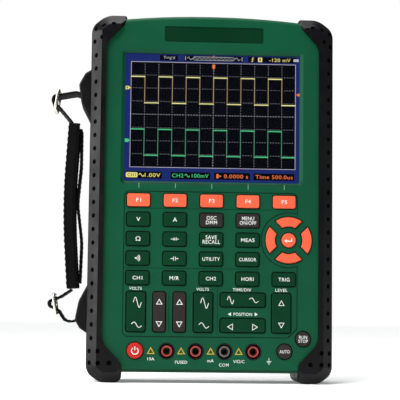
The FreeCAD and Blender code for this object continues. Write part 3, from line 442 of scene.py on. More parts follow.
def round_shading(mesh, angle):
    """Shades a mesh smooth, but keeps edges sharper than the angle."""
    mesh.polygons.foreach_set("use_smooth", [True] * len(mesh.polygons))
    mesh.set_sharp_from_angle(angle=math.radians(angle))


def skin(bm, rings):
    """Quads between neighbouring rings of vertices."""
    count = len(rings[0])
    for r0, r1 in zip(rings, rings[1:]):
        for k in range(count):
            m = (k + 1) % count
            bm.faces.new((r0[k], r0[m], r1[m], r1[k]))


def closed_tube(bm, rings):
    skin(bm, rings)
    bm.faces.new(rings[0][::-1])
    bm.faces.new(rings[-1])


def rounded(a0, b0, a1, b1, corner, steps):
    """The outline of a rectangle with rounded corners."""
    points = []
    for ca, cb, start in ((a1 - corner, b1 - corner, 0), (a0 + corner, b1 - corner, 90),
                          (a0 + corner, b0 + corner, 180), (a1 - corner, b0 + corner, 270)):
        for step in range(steps + 1):
            turn = math.radians(start + step * 90 / steps)
            points.append((ca + corner * math.cos(turn), cb + corner * math.sin(turn)))
    return points


class Print:
    """Thin closed shapes in a plane that faces -Y: lettering, symbols and display marks. Sizes in millimetres."""

    def __init__(self, y, thick=0.03):
        self.bm = bmesh.new()
        self.front = (y - thick) * MM
        self.back = y * MM

    def slab(self, points):
        """A closed prism over a convex outline of (x, z)."""
        front = [self.bm.verts.new((x * MM, self.front, z * MM)) for x, z in points]
        back = [self.bm.verts.new((x * MM, self.back, z * MM)) for x, z in points]
        area = sum(a[0] * b[1] - b[0] * a[1] for a, b in zip(points, points[1:] + points[:1]))
        if area < 0:
            front.reverse()
            back.reverse()
        self.bm.faces.new(front)
        self.bm.faces.new(back[::-1])
        for i in range(len(front)):
            j = (i + 1) % len(front)
            self.bm.faces.new((front[i], back[i], back[j], front[j]))

    def rect(self, x0, z0, x1, z1, corner=0):
        if not corner:
            self.slab([(x0, z0), (x1, z0), (x1, z1), (x0, z1)])
            return
        self.slab(rounded(x0, z0, x1, z1, corner, 4))

    def block(self, x, z, half_w, half_h, corner=0):
        self.rect(x - half_w, z - half_h, x + half_w, z + half_h, corner)

    def line(self, points, width, closed=False):
        """A stroked line with mitred corners, as one closed prism per run."""
        count = len(points)
        sides = []
        for i in range(count):
            legs = []
            if i > 0 or closed:
                legs.append((Vector(points[i]) - Vector(points[i - 1])).normalized())
            if i < count - 1 or closed:
                legs.append((Vector(points[(i + 1) % count]) - Vector(points[i])).normalized())
            normals = [Vector((-d.y, d.x)) for d in legs]
            mean = (normals[0] + normals[-1]).normalized()
            reach = width / 2 / max(0.35, mean.dot(normals[0]))
            here = Vector(points[i])
            sides.append((here + mean * reach, here - mean * reach))
        rings = []
        for a, b in sides:
            rings.append([self.bm.verts.new((p.x * MM, y, p.y * MM))
                          for p, y in ((a, self.front), (b, self.front), (b, self.back), (a, self.back))])
        pairs = list(zip(rings, rings[1:])) + ([(rings[-1], rings[0])] if closed else [])
        for r0, r1 in pairs:
            for k in range(4):
                m = (k + 1) % 4
                self.bm.faces.new((r0[m], r0[k], r1[k], r1[m]))
        if not closed:
            self.bm.faces.new(rings[0])
            self.bm.faces.new(rings[-1][::-1])

    def text(self, string, x, z, width, height):
        """Lettering centred at (x, z) that fills a box of that width and height."""
        curve = bpy.data.curves.new("lettering", "FONT")
        curve.body = string
        curve.align_x = "CENTER"
        curve.space_line = 0.85
        curve.offset = 0.004
        curve.space_character = 1.08
        curve.resolution_u = 3
        curve.extrude = 0.5
        obj = add_object("lettering", curve)
        graph = bpy.context.evaluated_depsgraph_get()
        mesh = bpy.data.meshes.new_from_object(obj.evaluated_get(graph))
        bpy.data.objects.remove(obj)
        points = np.array([v.co for v in mesh.vertices])
        low, high = points.min(0), points.max(0)
        middle = (low + high) / 2
        size = high - low
        fit = Matrix.Diagonal((width / size[0] * MM, height / size[1] * MM, (self.back - self.front) / size[2], 1))
        mesh.transform(Matrix.Translation((x * MM, (self.front + self.back) / 2, z * MM))
                       @ Matrix.Rotation(math.pi / 2, 4, "X") @ fit @ Matrix.Translation(-Vector(middle)))
        self.bm.from_mesh(mesh)
        bpy.data.meshes.remove(mesh)

    def triangle(self, x, z, size, heading, width=0.0):
        """A triangle that points along heading, in degrees from +X: filled, or outlined if width is given."""
        points = []
        for step in (0, 120, 240):
            turn = math.radians(heading + step)
            points.append((x + size * math.cos(turn), z + size * math.sin(turn)))
        if width:
            self.line(points, width, closed=True)
        else:
            self.slab(points)

    def wave(self, x, z, length, height, lean, width):
        """One period of a sine, turned by lean degrees."""
        points = []
        turn = math.radians(lean)
        for i in range(17):
            along = (i / 16 - 0.5) * length
            off = math.sin(i / 16 * 2 * math.pi) * height / 2
            points.append((x + along * math.cos(turn) - off * math.sin(turn),
                           z + along * math.sin(turn) + off * math.cos(turn)))
        self.line(points, width)

    def arc(self, x, z, radius, start, end, width):
        points = []
        steps = max(6, int(abs(end - start) / 15))
        for i in range(steps + 1):
            turn = math.radians(start + (end - start) * i / steps)
            points.append((x + radius * math.cos(turn), z + radius * math.sin(turn)))
        self.line(points, width)

    def done(self, name, material, body, slot=None):
        finish_piece(name, self.bm, material, body)


# ---------------------------------------------------------------- grips

HOLE_RADIUS, HOLE_DEPTH = 1.6, 1.0
HOLE_PITCH, LOWEST_HOLE, HOLE_ROWS = 8.948, 28.9, 22
SIDE_LINES = (-15, -5, 5, 15)
# x of the long row on front and back, and the heights of the side's rows beyond the long ones
EDGE_LINE, END_ROWS = 78.1, (20.2, 12.5, 226.5, 235)
ANCHOR_SPAN = 36.5 * MM
CORNER_HOLES = ((79.2, 20.5), (73.6, 20.6), (79.0, 12.8), (73.4, 12.9), (66.1, 13.0),
                (79.3, 226.2), (74.6, 228.6), (78.6, 234.8), (73.4, 237.0), (66.8, 238.2))


def dimple(bm, at, normal, radius=HOLE_RADIUS, depth=HOLE_DEPTH):
    """A lens that cuts a round dimple where it stands on a surface."""
    ball = (radius ** 2 + depth ** 2) / (2 * depth)
    turn = normal.to_track_quat("Z", "Y").to_matrix()
    segments = 18

    def ring(r, height):
        return [bm.verts.new(at + turn @ Vector((r * math.cos(k * 2 * math.pi / segments) * MM,
                                                 r * math.sin(k * 2 * math.pi / segments) * MM, height * MM)))
                for k in range(segments)]

    half = math.asin(radius / ball)
    rings = []
    for share in (1.0, 0.78, 0.54, 0.28):
        rings.append(ring(ball * math.sin(half * share), ball - depth - ball * math.cos(half * share)))
    lid = ring(radius * 1.25, 0.5)
    skin(bm, [lid] + rings)
    bm.faces.new(lid[::-1])
    tip = bm.verts.new(at + turn @ Vector((0, 0, -depth * MM)))
    for k in range(segments):
        bm.faces.new((rings[-1][k], rings[-1][(k + 1) % segments], tip))


def make_grip(side):
    """The rubber grip with its moulded dimples, cut into a copy of the CAD shape; the dimples' insides are painted
    near black as shade.
    """
    node = "left_grip" if side < 0 else "right_grip"
    source = NODES[node].data
    bm = bmesh.new()
    bm.from_mesh(source)
    bmesh.ops.remove_doubles(bm, verts=bm.verts, dist=1e-6)
    tree = BVHTree.FromBMesh(bm)
    mesh = bpy.data.meshes.new(node + "_rubber")
    bm.to_mesh(mesh)
    bm.free()
    mesh.materials.clear()
    mesh.materials.append(GRIP)
    mesh.materials.append(GRIP_HOLE_PAINTED_SHADE)
    cutter = bmesh.new()
    keep_off = [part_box("port_cover")] if side > 0 else []

    def punch(origin, way):
        hit, normal, _, _ = tree.ray_cast(Vector(origin) * MM, Vector(way))
        if hit is None:
            return
        if normal.dot(Vector(way)) > 0:
            normal = -normal
        for low, high in keep_off:
            if low.y - 3.5 * MM < hit.y < high.y + 3.5 * MM and low.z - 3 * MM < hit.z < high.z + 3 * MM:
                return
        if side < 0 and way[1] == 0 and abs(hit.y) < 14 * MM and near_anchor(hit.z):
            return
        dimple(cutter, hit, normal)

    heights = [LOWEST_HOLE + i * HOLE_PITCH for i in range(HOLE_ROWS)]
    for z in heights:
        for y_way in (1, -1):
            punch((side * EDGE_LINE, -60 * y_way, z), (0, y_way, 0))
        for y in SIDE_LINES:
            punch((side * 120, y, z), (-side, 0, 0))
    for x, z in CORNER_HOLES:
        for y_way in (1, -1):
            punch((side * x, -60 * y_way, z), (0, y_way, 0))
    for z in END_ROWS:
        for y in SIDE_LINES:
            punch((side * 120, y, z), (-side, 0, 0))
    bmesh.ops.recalc_face_normals(cutter, faces=cutter.faces)
    # painted shade: the dimples' faces take the dark second material
    for face in cutter.faces:
        face.material_index = 1
    cut_mesh = bpy.data.meshes.new("dimples")
    cutter.to_mesh(cut_mesh)
    cutter.free()
    cut_mesh.materials.append(GRIP)
    cut_mesh.materials.append(GRIP_HOLE_PAINTED_SHADE)
    tool = add_object("dimples", cut_mesh)
    grip = add_object(node + "_rubber", mesh)
    boolean = grip.modifiers.new("dimples", "BOOLEAN")
    boolean.operation = "DIFFERENCE"
    boolean.solver = "EXACT"
    boolean.object = tool
    boolean.material_mode = "INDEX"
    graph = bpy.context.evaluated_depsgraph_get()
    result = bpy.data.meshes.new_from_object(grip.evaluated_get(graph))
    grip.modifiers.clear()
    grip.data = result
    bpy.data.objects.remove(tool)
    result.name = node + "_rubber"
    round_shading(result, 28)
    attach(grip, HOME)
    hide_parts(node)


def near_anchor(z):
    """True if a height in metres is beside one of the strap's anchors."""
    low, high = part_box("strap_anchors")
    return z > high.z - ANCHOR_SPAN - 2 * MM or z < low.z + ANCHOR_SPAN


# ---------------------------------------------------------------- display

PICTURE_Y = -18.84
DIVISIONS_ACROSS, DIVISIONS_UP, DOTS = 12, 8, 5
HALF_WIDTH, HALF_HEIGHT = 55.4, 35.6
SURROUND = (59.3, 43.2)
FINE_DOT, AXIS_DOT = 0.19, 0.27
# from and to, in x, of each black field above and below the picture
TOP_FIELDS = ((-35.6, -23.6), (-19.2, 20.6), (24.0, 56.6))
LOW_FIELDS = ((-57.6, -33.2), (-27.4, -1.0), (1.8, 25.8), (28.2, 55.6))
# name, colour of the flats, colour of the edges, high and low level in divisions from the top
TRACES = (("yellow", "#f6f2a0", "#c9a97c", 1.13, 3.13), ("green", "#4fd08a", "#5fa583", 5.13, 7.1))
DISPLAY_INKS = {"white": "#b9bcc4", "yellow": "#ecdf80", "green": "#4fcf86", "orange": "#ef7a45",
                "dark": "#161a10"}
# ink, text, x, width, height of the readings in the bar above and the bar below the picture
TOP_TEXT = (("white", "Trig'd", -29.4, 7.6, 2.5), ("yellow", "-120 mV", 45.4, 14.5, 2.4),
            ("dark", "1", 32, 0.9, 2.0))
LOW_TEXT = (("yellow", "1.00V", -39.4, 10.4, 2.6), ("green", "CH2", -22.6, 7.6, 2.6),
            ("green", "100mV", -7.6, 11.2, 2.6), ("orange", "0.0000 s", 16.4, 16.2, 2.6),
            ("orange", "Time 500.0us", 42, 25, 2.6), ("dark", "CH1", -53.3, 5.6, 2.0))


def show(sheet, name, material, colour, strength=1.0):
    sheet.done(name, lit(material, colour, strength), HOME, "display_panel")


def make_display():
    """The picture on the display: two square waves on a dotted grid, with their scales above and below."""
    cx, cz = 0.7, centre("display_window").z / MM + 2.15
    step_x, step_z = 2 * HALF_WIDTH / DIVISIONS_ACROSS, 2 * HALF_HEIGHT / DIVISIONS_UP
    left, right, low, top = cx - HALF_WIDTH, cx + HALF_WIDTH, cz - HALF_HEIGHT, cz + HALF_HEIGHT
    bar_top, bar_low = top + 3.0, low - 5.3

    base = Print(PICTURE_Y, 0.04)
    mid = centre("display_window") / MM
    base.block(mid.x, mid.z, *SURROUND)
    show(base, "display_surround", "display_blue", "#1d2b6c")

    black = Print(PICTURE_Y - 0.05)
    black.rect(left, low, right, top)
    for x0, x1 in TOP_FIELDS:
        black.rect(x0, bar_top - 1.9, x1, bar_top + 1.9)
    for x0, x1 in LOW_FIELDS:
        black.rect(x0, bar_low - 2.3, x1, bar_low + 2.3)
    show(black, "display_fields", "display_black", "#04060c")

    grid = Print(PICTURE_Y - 0.09)
    for i in range(DIVISIONS_ACROSS + 1):
        size = AXIS_DOT if i == DIVISIONS_ACROSS // 2 else FINE_DOT
        for k in range(DOTS * DIVISIONS_UP + 1):
            grid.block(left + i * step_x, low + k * step_z / DOTS, size, size)
    for j in range(DIVISIONS_UP + 1):
        size = AXIS_DOT if j == DIVISIONS_UP // 2 else FINE_DOT
        for k in range(DOTS * DIVISIONS_ACROSS + 1):
            grid.block(left + k * step_x / DOTS, low + j * step_z, size, size)
    for x0, z0, x1, z1 in ((left, top, right, top), (left, low, right, low), (left, low, left, top),
                           (right, low, right, top)):
        grid.rect(x0 - 0.14, z0 - 0.14, x1 + 0.14, z1 + 0.14)
    show(grid, "display_grid", "display_grey", "#c9c4d2")

    for name, colour, side_colour, high, low_row in TRACES:
        flats, sides = Print(PICTURE_Y - 0.14), Print(PICTURE_Y - 0.11)
        for i in range(DIVISIONS_ACROSS):
            z = top - (high if i % 2 == 0 else low_row) * step_z
            flats.rect(left + i * step_x - 0.2, z - 0.34, left + (i + 1) * step_x + 0.2, z + 0.34)
        for i in range(1, DIVISIONS_ACROSS):
            x = left + i * step_x
            sides.rect(x - 0.17, top - low_row * step_z, x + 0.17, top - high * step_z)
        show(flats, f"trace_{name}", f"trace_{name}", colour, 1.05)
        show(sides, f"trace_{name}_edges", f"trace_{name}_edges", side_colour)

    y = PICTURE_Y - 0.1
    sheets = {name: Print(y - 0.04 if name == "dark" else y) for name in DISPLAY_INKS}
    for bar, readings in ((bar_top, TOP_TEXT), (bar_low, LOW_TEXT)):
        for name, string, x, width, height in readings:
            sheets[name].text(string, x, bar, width, height)
    draw_memory_bar(sheets["white"], bar_top)
    sheets["white"].rect(54.6, bar_top - 0.9, 58.2, bar_top + 0.9, 0.4)
    yellow, green, orange = sheets["yellow"], sheets["green"], sheets["orange"]
    yellow.line([(26.0, bar_top - 1.3), (26.9, bar_top - 1.3), (26.9, bar_top + 1.3), (27.8, bar_top + 1.3)], 0.4)
    yellow.line([(26.2, bar_top + 0.1), (27.7, bar_top + 0.1)], 0.35)
    yellow.rect(30.6, bar_top - 1.5, 33.4, bar_top + 1.5)
    yellow.rect(-57.2, bar_low - 1.7, -49.4, bar_low + 1.7, 0.8)
    yellow.wave(-46.8, bar_low, 3.4, 2.0, 0, 0.45)
    green.wave(-16.3, bar_low, 3.2, 2.0, 0, 0.45)
    orange.rect(3.2, bar_low - 1.4, 4.8, bar_low + 1.4, 0.3)
    orange.triangle(5.8, bar_low, 0.9, 0)
    # the level markers beside the picture and the trigger markers on it
    yellow_z, green_z, trigger_z = top - 2 * step_z, top - 6 * step_z, top - 2.3 * step_z
    yellow.rect(left - 3.6, yellow_z - 1.2, left - 1.4, yellow_z + 1.2)
    yellow.triangle(left - 1.2, yellow_z, 1.3, 0)
    sheets["dark"].text("1", left - 2.5, yellow_z, 0.7, 1.5)
    green.rect(left - 3.6, green_z - 1.2, left - 1.6, green_z + 1.2)
    green.triangle(left - 1.2, green_z, 1.5, 0)
    orange.triangle(right + 1.6, trigger_z, 1.3, 180)
    orange.rect(right + 1.8, trigger_z - 0.9, right + 3.2, trigger_z + 0.9)
    orange.rect(cx - 0.9, top - 2.6, cx + 0.9, top - 0.9, 0.3)
    orange.triangle(cx, top - 3.2, 1.4, 270)
    orange.triangle(cx, top + 4.6, 0.8, 270)
    for name, colour in DISPLAY_INKS.items():
        show(sheets[name], f"display_text_{name}", f"display_{name}", colour)


def draw_memory_bar(sheet, z):
    """The bar that shows which part of the stored wave is on the display."""
    memory = [(-17.4, 0), (-16.2, 1.0), (-15, -1.0), (-13.4, 0), (-12.4, 1.15), (13.6, 1.15), (14.8, 0),
              (16.2, 1.0), (17.4, -1.0), (18.6, 0)]
    sheet.line([(x, z + off) for x, off in memory], 0.3)
    sheet.line([(x, z - off) for x, off in memory[3:7]], 0.3)
    for i in range(9):
        sheet.wave(-11.2 + i * 2.9, z, 2.9, 1.3, 0, 0.22)
    for x in (-18.6, 19.6):
        sheet.rect(x, z - 1.4, x + 0.4, z + 1.4)


# ---------------------------------------------------------------- lettering

PLATE_AT, PLATE_HALF = (0.6, 232.3), (33.0, 5.1)
TRIANGLE_X = (-38.9, -19.0, 0.4, 18.9)
EARTH_AT = (38.9, 14.9)
# key: (text, width, height) in millimetres
LEGENDS = {
    "key_f1": ("F1", 3.2, 2.5), "key_f2": ("F2", 3.6, 2.5), "key_f3": ("F3", 3.6, 2.5),
    "key_f4": ("F4", 3.6, 2.5), "key_f5": ("F5", 3.6, 2.5),
    "key_volt": ("V", 2.7, 2.8), "key_amp": ("A", 2.8, 2.8), "key_ohm": ("Ω", 3.2, 2.9),
    "key_scope_meter": ("OSC\nDMM", 7.4, 5.4), "key_menu": ("MENU\nON/OFF", 11.0, 5.4),
    "key_save_recall": ("SAVE\nRECALL", 11.6, 5.6), "key_measure": ("MEAS", 9.0, 2.4),
    "key_utility": ("UTILITY", 11.6, 2.3), "key_cursor": ("CURSOR", 11.4, 2.3),
    "key_channel_1": ("CH1", 6.4, 2.4), "key_math_ref": ("M/R", 6.3, 2.6),
    "key_channel_2": ("CH2", 6.8, 2.4), "key_horizontal": ("HORI", 8.0, 2.4),
    "key_trigger": ("TRIG", 7.4, 2.4), "key_auto": ("AUTO", 6.8, 2.1), "key_run_stop": ("RUN\nSTOP", 6.4, 4.6),
}
PANEL_LABELS = (
    ("VOLTS", -49.55, 61.8, 8.2, 2.0), ("VOLTS", -5.3, 61.7, 8.2, 2.0), ("TIME/DIV", 20.7, 61.7, 12.2, 2.0),
    ("LEVEL", 46.9, 61.7, 8.0, 2.0), ("POSITION", 21.4, 45.6, 12.2, 2.0), ("10A", -38.8, 15.9, 4.6, 2.0),
    ("FUSED", -18.9, 13.9, 8.0, 2.0), ("mA", 0.4, 15.0, 4.2, 2.0), ("COM", 9.2, 12.3, 6.4, 2.0),
    ("V/Ω/C", 19.0, 14.7, 7.4, 2.1),
)


def draw_diode(sheet, x, z):
    sheet.line([(x - 2.6, z), (x + 2.6, z)], 0.4)
    sheet.triangle(x - 0.2, z, 1.15, 0)
    sheet.rect(x + 0.85, z - 1.1, x + 1.25, z + 1.1)


def draw_capacitor(sheet, x, z):
    for side in (-1, 1):
        sheet.line([(x + side * 2.6, z), (x + side * 0.6, z)], 0.4)
        sheet.block(x + side * 0.65, z, 0.2, 1.3)


def draw_sounder(sheet, x, z):
    sheet.rect(x - 2.0, z - 0.45, x - 1.1, z + 0.45, 0.35)
    for radius in (1.1, 2.1, 3.1):
        sheet.arc(x - 1.7, z, radius, -42, 42, 0.4)


def draw_power(sheet, x, z):
    sheet.arc(x, z - 0.2, 2.2, -235, 55, 0.55)
    sheet.rect(x - 0.28, z + 0.2, x + 0.28, z + 2.7)


def draw_enter(sheet, x, z):
    sheet.line([(x - 1.6, z - 0.6), (x + 1.9, z - 0.6), (x + 1.9, z + 1.3)], 0.6)
    sheet.triangle(x - 1.9, z - 0.6, 1.35, 180)


def draw_volts(sheet, x, z):
    sheet.wave(x + 0.9, z + 6.1, 5.2, 6.8, 0, 0.4)
    sheet.wave(x + 0.6, z - 8.6, 6.8, 3.0, -8, 0.4)


def draw_up_down(sheet, x, z, width=0.42):
    sheet.triangle(x, z + 6.1, 2.1, 90, width)
    sheet.triangle(x, z - 7.5, 2.1, 270, width)


def draw_level(sheet, x, z):
    draw_up_down(sheet, x, z, 0.36)


def draw_time_base(sheet, x, z):
    sheet.wave(x - 8.2, z - 0.1, 4.2, 5.0, 0, 0.4)
    sheet.wave(x + 7.2, z - 0.1, 6.2, 2.6, -10, 0.4)


def draw_left_right(sheet, x, z):
    sheet.triangle(x - 7.8, z - 0.9, 2.2, 180, 0.36)
    sheet.triangle(x + 7.6, z - 0.9, 2.2, 0, 0.36)


SYMBOLS = {
    "key_diode": draw_diode, "key_capacitance": draw_capacitor, "key_continuity": draw_sounder,
    "key_power": draw_power, "key_enter": draw_enter, "rocker_channel_1_volts": draw_volts,
    "rocker_channel_2_volts": draw_volts, "rocker_channel_1_position": draw_up_down,
    "rocker_channel_2_position": draw_up_down, "rocker_trigger_level": draw_level,
    "rocker_time_base": draw_time_base, "rocker_time_position": draw_left_right,
}


def make_lettering():
    for node in list(LEGENDS) + list(SYMBOLS):
        at = centre(node) / MM
        sheet = Print(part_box(node)[0].y / MM, 0.05)
        if node in SYMBOLS:
            SYMBOLS[node](sheet, at.x, at.z)
        else:
            string, width, height = LEGENDS[node]
            sheet.text(string, at.x, at.z, width, height)
        sheet.done(node + "_legend", WHITE_INK, NODES[node]["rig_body"])

    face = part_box("front_case")[0].y / MM
    sheet = Print(face, 0.05)
    for string, x, z, width, height in PANEL_LABELS:
        sheet.text(string, x, z, width, height)
    sheet.triangle(12.9, 45.6, 1.35, 180)
    sheet.triangle(30.0, 45.6, 1.35, 0)
    x, z = EARTH_AT
    for i in range(3):
        sheet.block(x, z - i * 0.8, 1.6 - i * 0.55, 0.16)
    sheet.rect(x - 0.16, z, x + 0.16, z + 2.3)
    sheet.done("panel_labels", WHITE_INK, HOME)
    plate = Print(face + 0.62, 0.14)
    plate.block(*PLATE_AT, *PLATE_HALF, 0.8)
    plate.done("nameplate", PLATE_GREEN, HOME, "housing_green")
    # painted highlight: the light lines of the ridges below the screen, one at each F key
    ticks = Print(face, 0.05)
    for i in range(5):
        x = centre(f"key_f{i + 1}").x / MM
        ticks.rect(x - 0.22, 128.3, x + 0.22, 131.6)
    ticks.done("screen_tick_highlights", TICK_HIGHLIGHT, HOME)
    marks = Print(face, 0.05)
    for x in TRIANGLE_X:
        marks.triangle(x, 20.6, 2.5, 90, 0.55)
    marks.done("panel_triangles", YELLOW_INK, HOME)


# ---------------------------------------------------------------- strap

# (x, z, bend radius) of each webbing run, in millimetres, in the plane of the front
UPPER_RUN = [(-85.4, 190.5), (-90.5, 194.3, 5), (-107, 191.2, 1.7), (-107.6, 187, 1.7), (-102.5, 183.4, 4),
             (-93.6, 173)]
LOWER_RUN = [(-85.4, 42.8), (-91.2, 39.1, 6), (-96.6, 40.2, 5), (-100.6, 46.7, 4), (-107, 49.7, 1.7),
             (-107.2, 52.9, 1.7), (-99.5, 55.8, 4), (-92.2, 60.7)]
INNER_RUN = [(-87.6, 168.7), (-87.5, 143.6, 60), (-89.6, 118.6, 40), (-86.2, 92.7, 60), (-86.9, 65.1)]
PAD_LINE = [(-92.1, 172.2), (-95.3, 117.1, 420), (-91.4, 61.7)]
WEB_WIDTH, WEB_THICK = 20, 1.3
SLEEVE_WIDTH, SLEEVE_THICK, BINDING_THICK, BAND_THICK = 24.5, 5.2, 6.8, 0.9
BINDING_Y, SEAM_Y = 12.9, 11.3
VOXEL, SWELL_CAP, SWELL_STEPS = 1.5 * MM, 0.9 * MM, 20
BUCKLE_WIRE, BUCKLE_BAR = 1.05, 0.85
# (x, z, lean in degrees) of each buckle
BUCKLES = ((-104.4, 188.7, 9), (-103.1, 50.9, -7.7))


def bent(points, spacing=0.8):
    """The line through (x, z, bend radius) corners, evenly spaced, with its directions."""
    path = []
    for i, p in enumerate(points):
        here = Vector((p[0], p[1]))
        radius = p[2] if len(p) > 2 else 0
        if not radius:
            path.append(here)
            continue
        before = (Vector(points[i - 1][:2]) - here).normalized()
        after = (Vector(points[i + 1][:2]) - here).normalized()
        half = before.angle(after) / 2
        reach = radius / math.tan(half)
        middle = here + (before + after).normalized() * (radius / math.sin(half))
        start, end = here + before * reach, here + after * reach
        a0 = math.atan2(start.y - middle.y, start.x - middle.x)
        a1 = math.atan2(end.y - middle.y, end.x - middle.x)
        sweep = (a1 - a0 + math.pi) % (2 * math.pi) - math.pi
        steps = max(4, int(abs(sweep) * radius / spacing))
        for k in range(steps + 1):
            turn = a0 + sweep * k / steps
            path.append(middle + Vector((math.cos(turn), math.sin(turn))) * radius)
    lengths = [0.0]
    for a, b in zip(path, path[1:]):
        lengths.append(lengths[-1] + (b - a).length)
    count = max(8, int(lengths[-1] / spacing))
    even, k = [], 0
    for i in range(count + 1):
        want = lengths[-1] * i / count
        while k < len(path) - 2 and lengths[k + 1] < want:
            k += 1
        span = max(lengths[k + 1] - lengths[k], 1e-9)
        even.append(path[k].lerp(path[k + 1], (want - lengths[k]) / span))
    ways = []
    for i in range(len(even)):
        ways.append((even[min(i + 1, count)] - even[max(i - 1, 0)]).normalized())
    return even, ways


def sweep_band(bm, points, width, thick, spacing=0.8, lift=0.0, ribs=0.0, centre_y=0.0):
    """A closed band along a run: rounded edges, a slightly thicker selvedge, and cross ribs in relief."""
    path, ways = bent(points, spacing)
    half_w, half_t = width / 2, thick / 2
    across = []
    steps = 20
    for k in range(steps + 1):
        y = -half_w + width * k / steps
        edge = half_w - abs(y)
        swell = 1.0 if edge > 1.6 else 1.1
        if edge < 0.35:
            swell = 0.62
        across.append((y, half_t * swell))
    loop = [(y, t) for y, t in across] + [(y, -t) for y, t in reversed(across)]
    rings = []
    for i, (p, d) in enumerate(zip(path, ways)):
        normal = Vector((-d.y, d.x))
        rib = 1 + ribs * math.sin(i * 2 * math.pi / 3)
        rings.append([bm.verts.new(((p.x + normal.x * (t * rib + lift)) * MM, (y + centre_y) * MM,
                                    (p.y + normal.y * (t * rib + lift)) * MM)) for y, t in loop])
    closed_tube(bm, rings)


def stitches(bm, points, y, lift, length=2.2, gap=1.3, radius=0.22):
    """A row of raised thread stitches along a run, at that y and height above the run's middle."""
    path, ways = bent(points, 0.4)
    step = int((length + gap) / 0.4)
    for start in range(4, len(path) - step, step):
        stop = start + int(length / 0.4)
        rings = []
        for i in range(start, stop + 1):
            share = (i - start) / (stop - start)
            rise = radius * 1.2 * math.sin(share * math.pi)
            d = ways[i]
            normal = Vector((-d.y, d.x))
            sign = 1 if lift >= 0 else -1
            mid = path[i] + normal * (lift + sign * (rise - radius * 0.6))
            ring = []
            for k in range(6):
                turn = k * math.pi / 3
                off = normal * (radius * math.cos(turn))
                ring.append(bm.verts.new(((mid.x + off.x) * MM, (y + radius * math.sin(turn)) * MM,
                                          (mid.y + off.y) * MM)))
            rings.append(ring)
        closed_tube(bm, rings)


def make_webbing():
    bm = bmesh.new()
    for run in (UPPER_RUN, LOWER_RUN, INNER_RUN):
        sweep_band(bm, run, WEB_WIDTH, WEB_THICK, 0.55, ribs=0.05)
    web = finish_piece("strap_webbing_woven", bm, WEBBING, HOME, 50)
    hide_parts("strap_webbing")
    bm = bmesh.new()
    for run in (UPPER_RUN, LOWER_RUN, INNER_RUN):
        for y in (-WEB_WIDTH / 2 + 1.6, WEB_WIDTH / 2 - 1.6):
            for lift in (WEB_THICK / 2, -WEB_THICK / 2):
                stitches(bm, run, y, lift, radius=0.16)
    finish_piece("strap_stitching", bm, THREAD, HOME, 60)


def make_pad():
    """The padded sleeve: swollen by a cloth simulation, then bound along its edges and stitched."""
    bm = bmesh.new()
    sweep_band(bm, PAD_LINE, SLEEVE_WIDTH, SLEEVE_THICK, 1.6)
    bmesh.ops.recalc_face_normals(bm, faces=bm.faces)
    mesh = bpy.data.meshes.new("strap_pad_soft")
    bm.to_mesh(mesh)
    bm.free()
    pad = add_object("strap_pad_soft", mesh)
    remesh = pad.modifiers.new("remesh", "REMESH")
    remesh.mode = "VOXEL"
    remesh.voxel_size = VOXEL
    bake_modifiers(pad)
    swell_pad(pad)
    subdivision = pad.modifiers.new("round", "SUBSURF")
    subdivision.levels = subdivision.render_levels = 1
    bake_modifiers(pad)
    quilt(pad)
    pad.data.materials.clear()
    pad.data.materials.append(PAD_FABRIC)
    pad.data.polygons.foreach_set("use_smooth", [True] * len(pad.data.polygons))
    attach(pad, HOME)
    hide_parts("strap_pad")

    bm = bmesh.new()
    for y in (-BINDING_Y, BINDING_Y):
        sweep_band(bm, PAD_LINE, 1.5, BINDING_THICK, 0.8, centre_y=y, ribs=0.03)
    finish_piece("strap_pad_binding", bm, BINDING, HOME, 50)
    # the outer band: real webbing, its lighter grey partly painted light for the lit outer edge
    bm = bmesh.new()
    sweep_band(bm, PAD_LINE, WEB_WIDTH, BAND_THICK, 0.55, lift=-3.5, ribs=0.05)
    finish_piece("strap_pad_outer_band", bm, OUTER_BAND, HOME, 50)
    bm = bmesh.new()
    for y in (-SEAM_Y, SEAM_Y):
        for lift in (3.45, -3.9):
            stitches(bm, PAD_LINE, y, lift, 2.6, 1.4, 0.2)
    finish_piece("strap_pad_stitching", bm, THREAD, HOME, 60)


def bake_modifiers(obj):
    """Replaces an object's mesh by what its modifiers make of it."""
    graph = bpy.context.evaluated_depsgraph_get()
    mesh = bpy.data.meshes.new_from_object(obj.evaluated_get(graph))
    obj.modifiers.clear()
    obj.data = mesh


def swell_pad(pad):
    """Foam pushes the cover out evenly; its ends and edges stay sewn."""
    before = np.array([v.co for v in pad.data.vertices])
    cloth = pad.modifiers.new("swell", "CLOTH")
    settings = cloth.settings
    settings.quality = 6
    settings.mass = 0.25
    settings.use_pressure = True
    settings.uniform_pressure_force = 4
    settings.tension_stiffness = settings.compression_stiffness = 12
    settings.bending_stiffness = 0.4
    settings.effector_weights.gravity = 0
    pin = pad.vertex_groups.new(name="sewn")
    low, high = before[:, 2].min(), before[:, 2].max()
    for i, co in enumerate(before):
        near_end = min(co[2] - low, high - co[2]) < 3.0 * MM
        near_edge = abs(co[1]) > 11.6 * MM
        if near_end or near_edge:
            pin.add([i], 1.0, "REPLACE")
    settings.vertex_group_mass = "sewn"
    scene = bpy.context.scene
    for step in range(1, SWELL_STEPS + 1):
        scene.frame_set(step)
    graph = bpy.context.evaluated_depsgraph_get()
    after = np.array([v.co for v in pad.evaluated_get(graph).to_mesh().vertices])
    pad.modifiers.clear()
    scene.frame_set(1)
    move = after - before
    far = np.linalg.norm(move, axis=1, keepdims=True)
    move *= np.minimum(1, SWELL_CAP / np.maximum(far, 1e-9))
    pad.data.vertices.foreach_set("co", (before + move).ravel())
    pad.data.update()


CHANNEL_Y, CHANNEL_WIDTH, CHANNEL_PRESS = 11.2, 1.1, 0.16


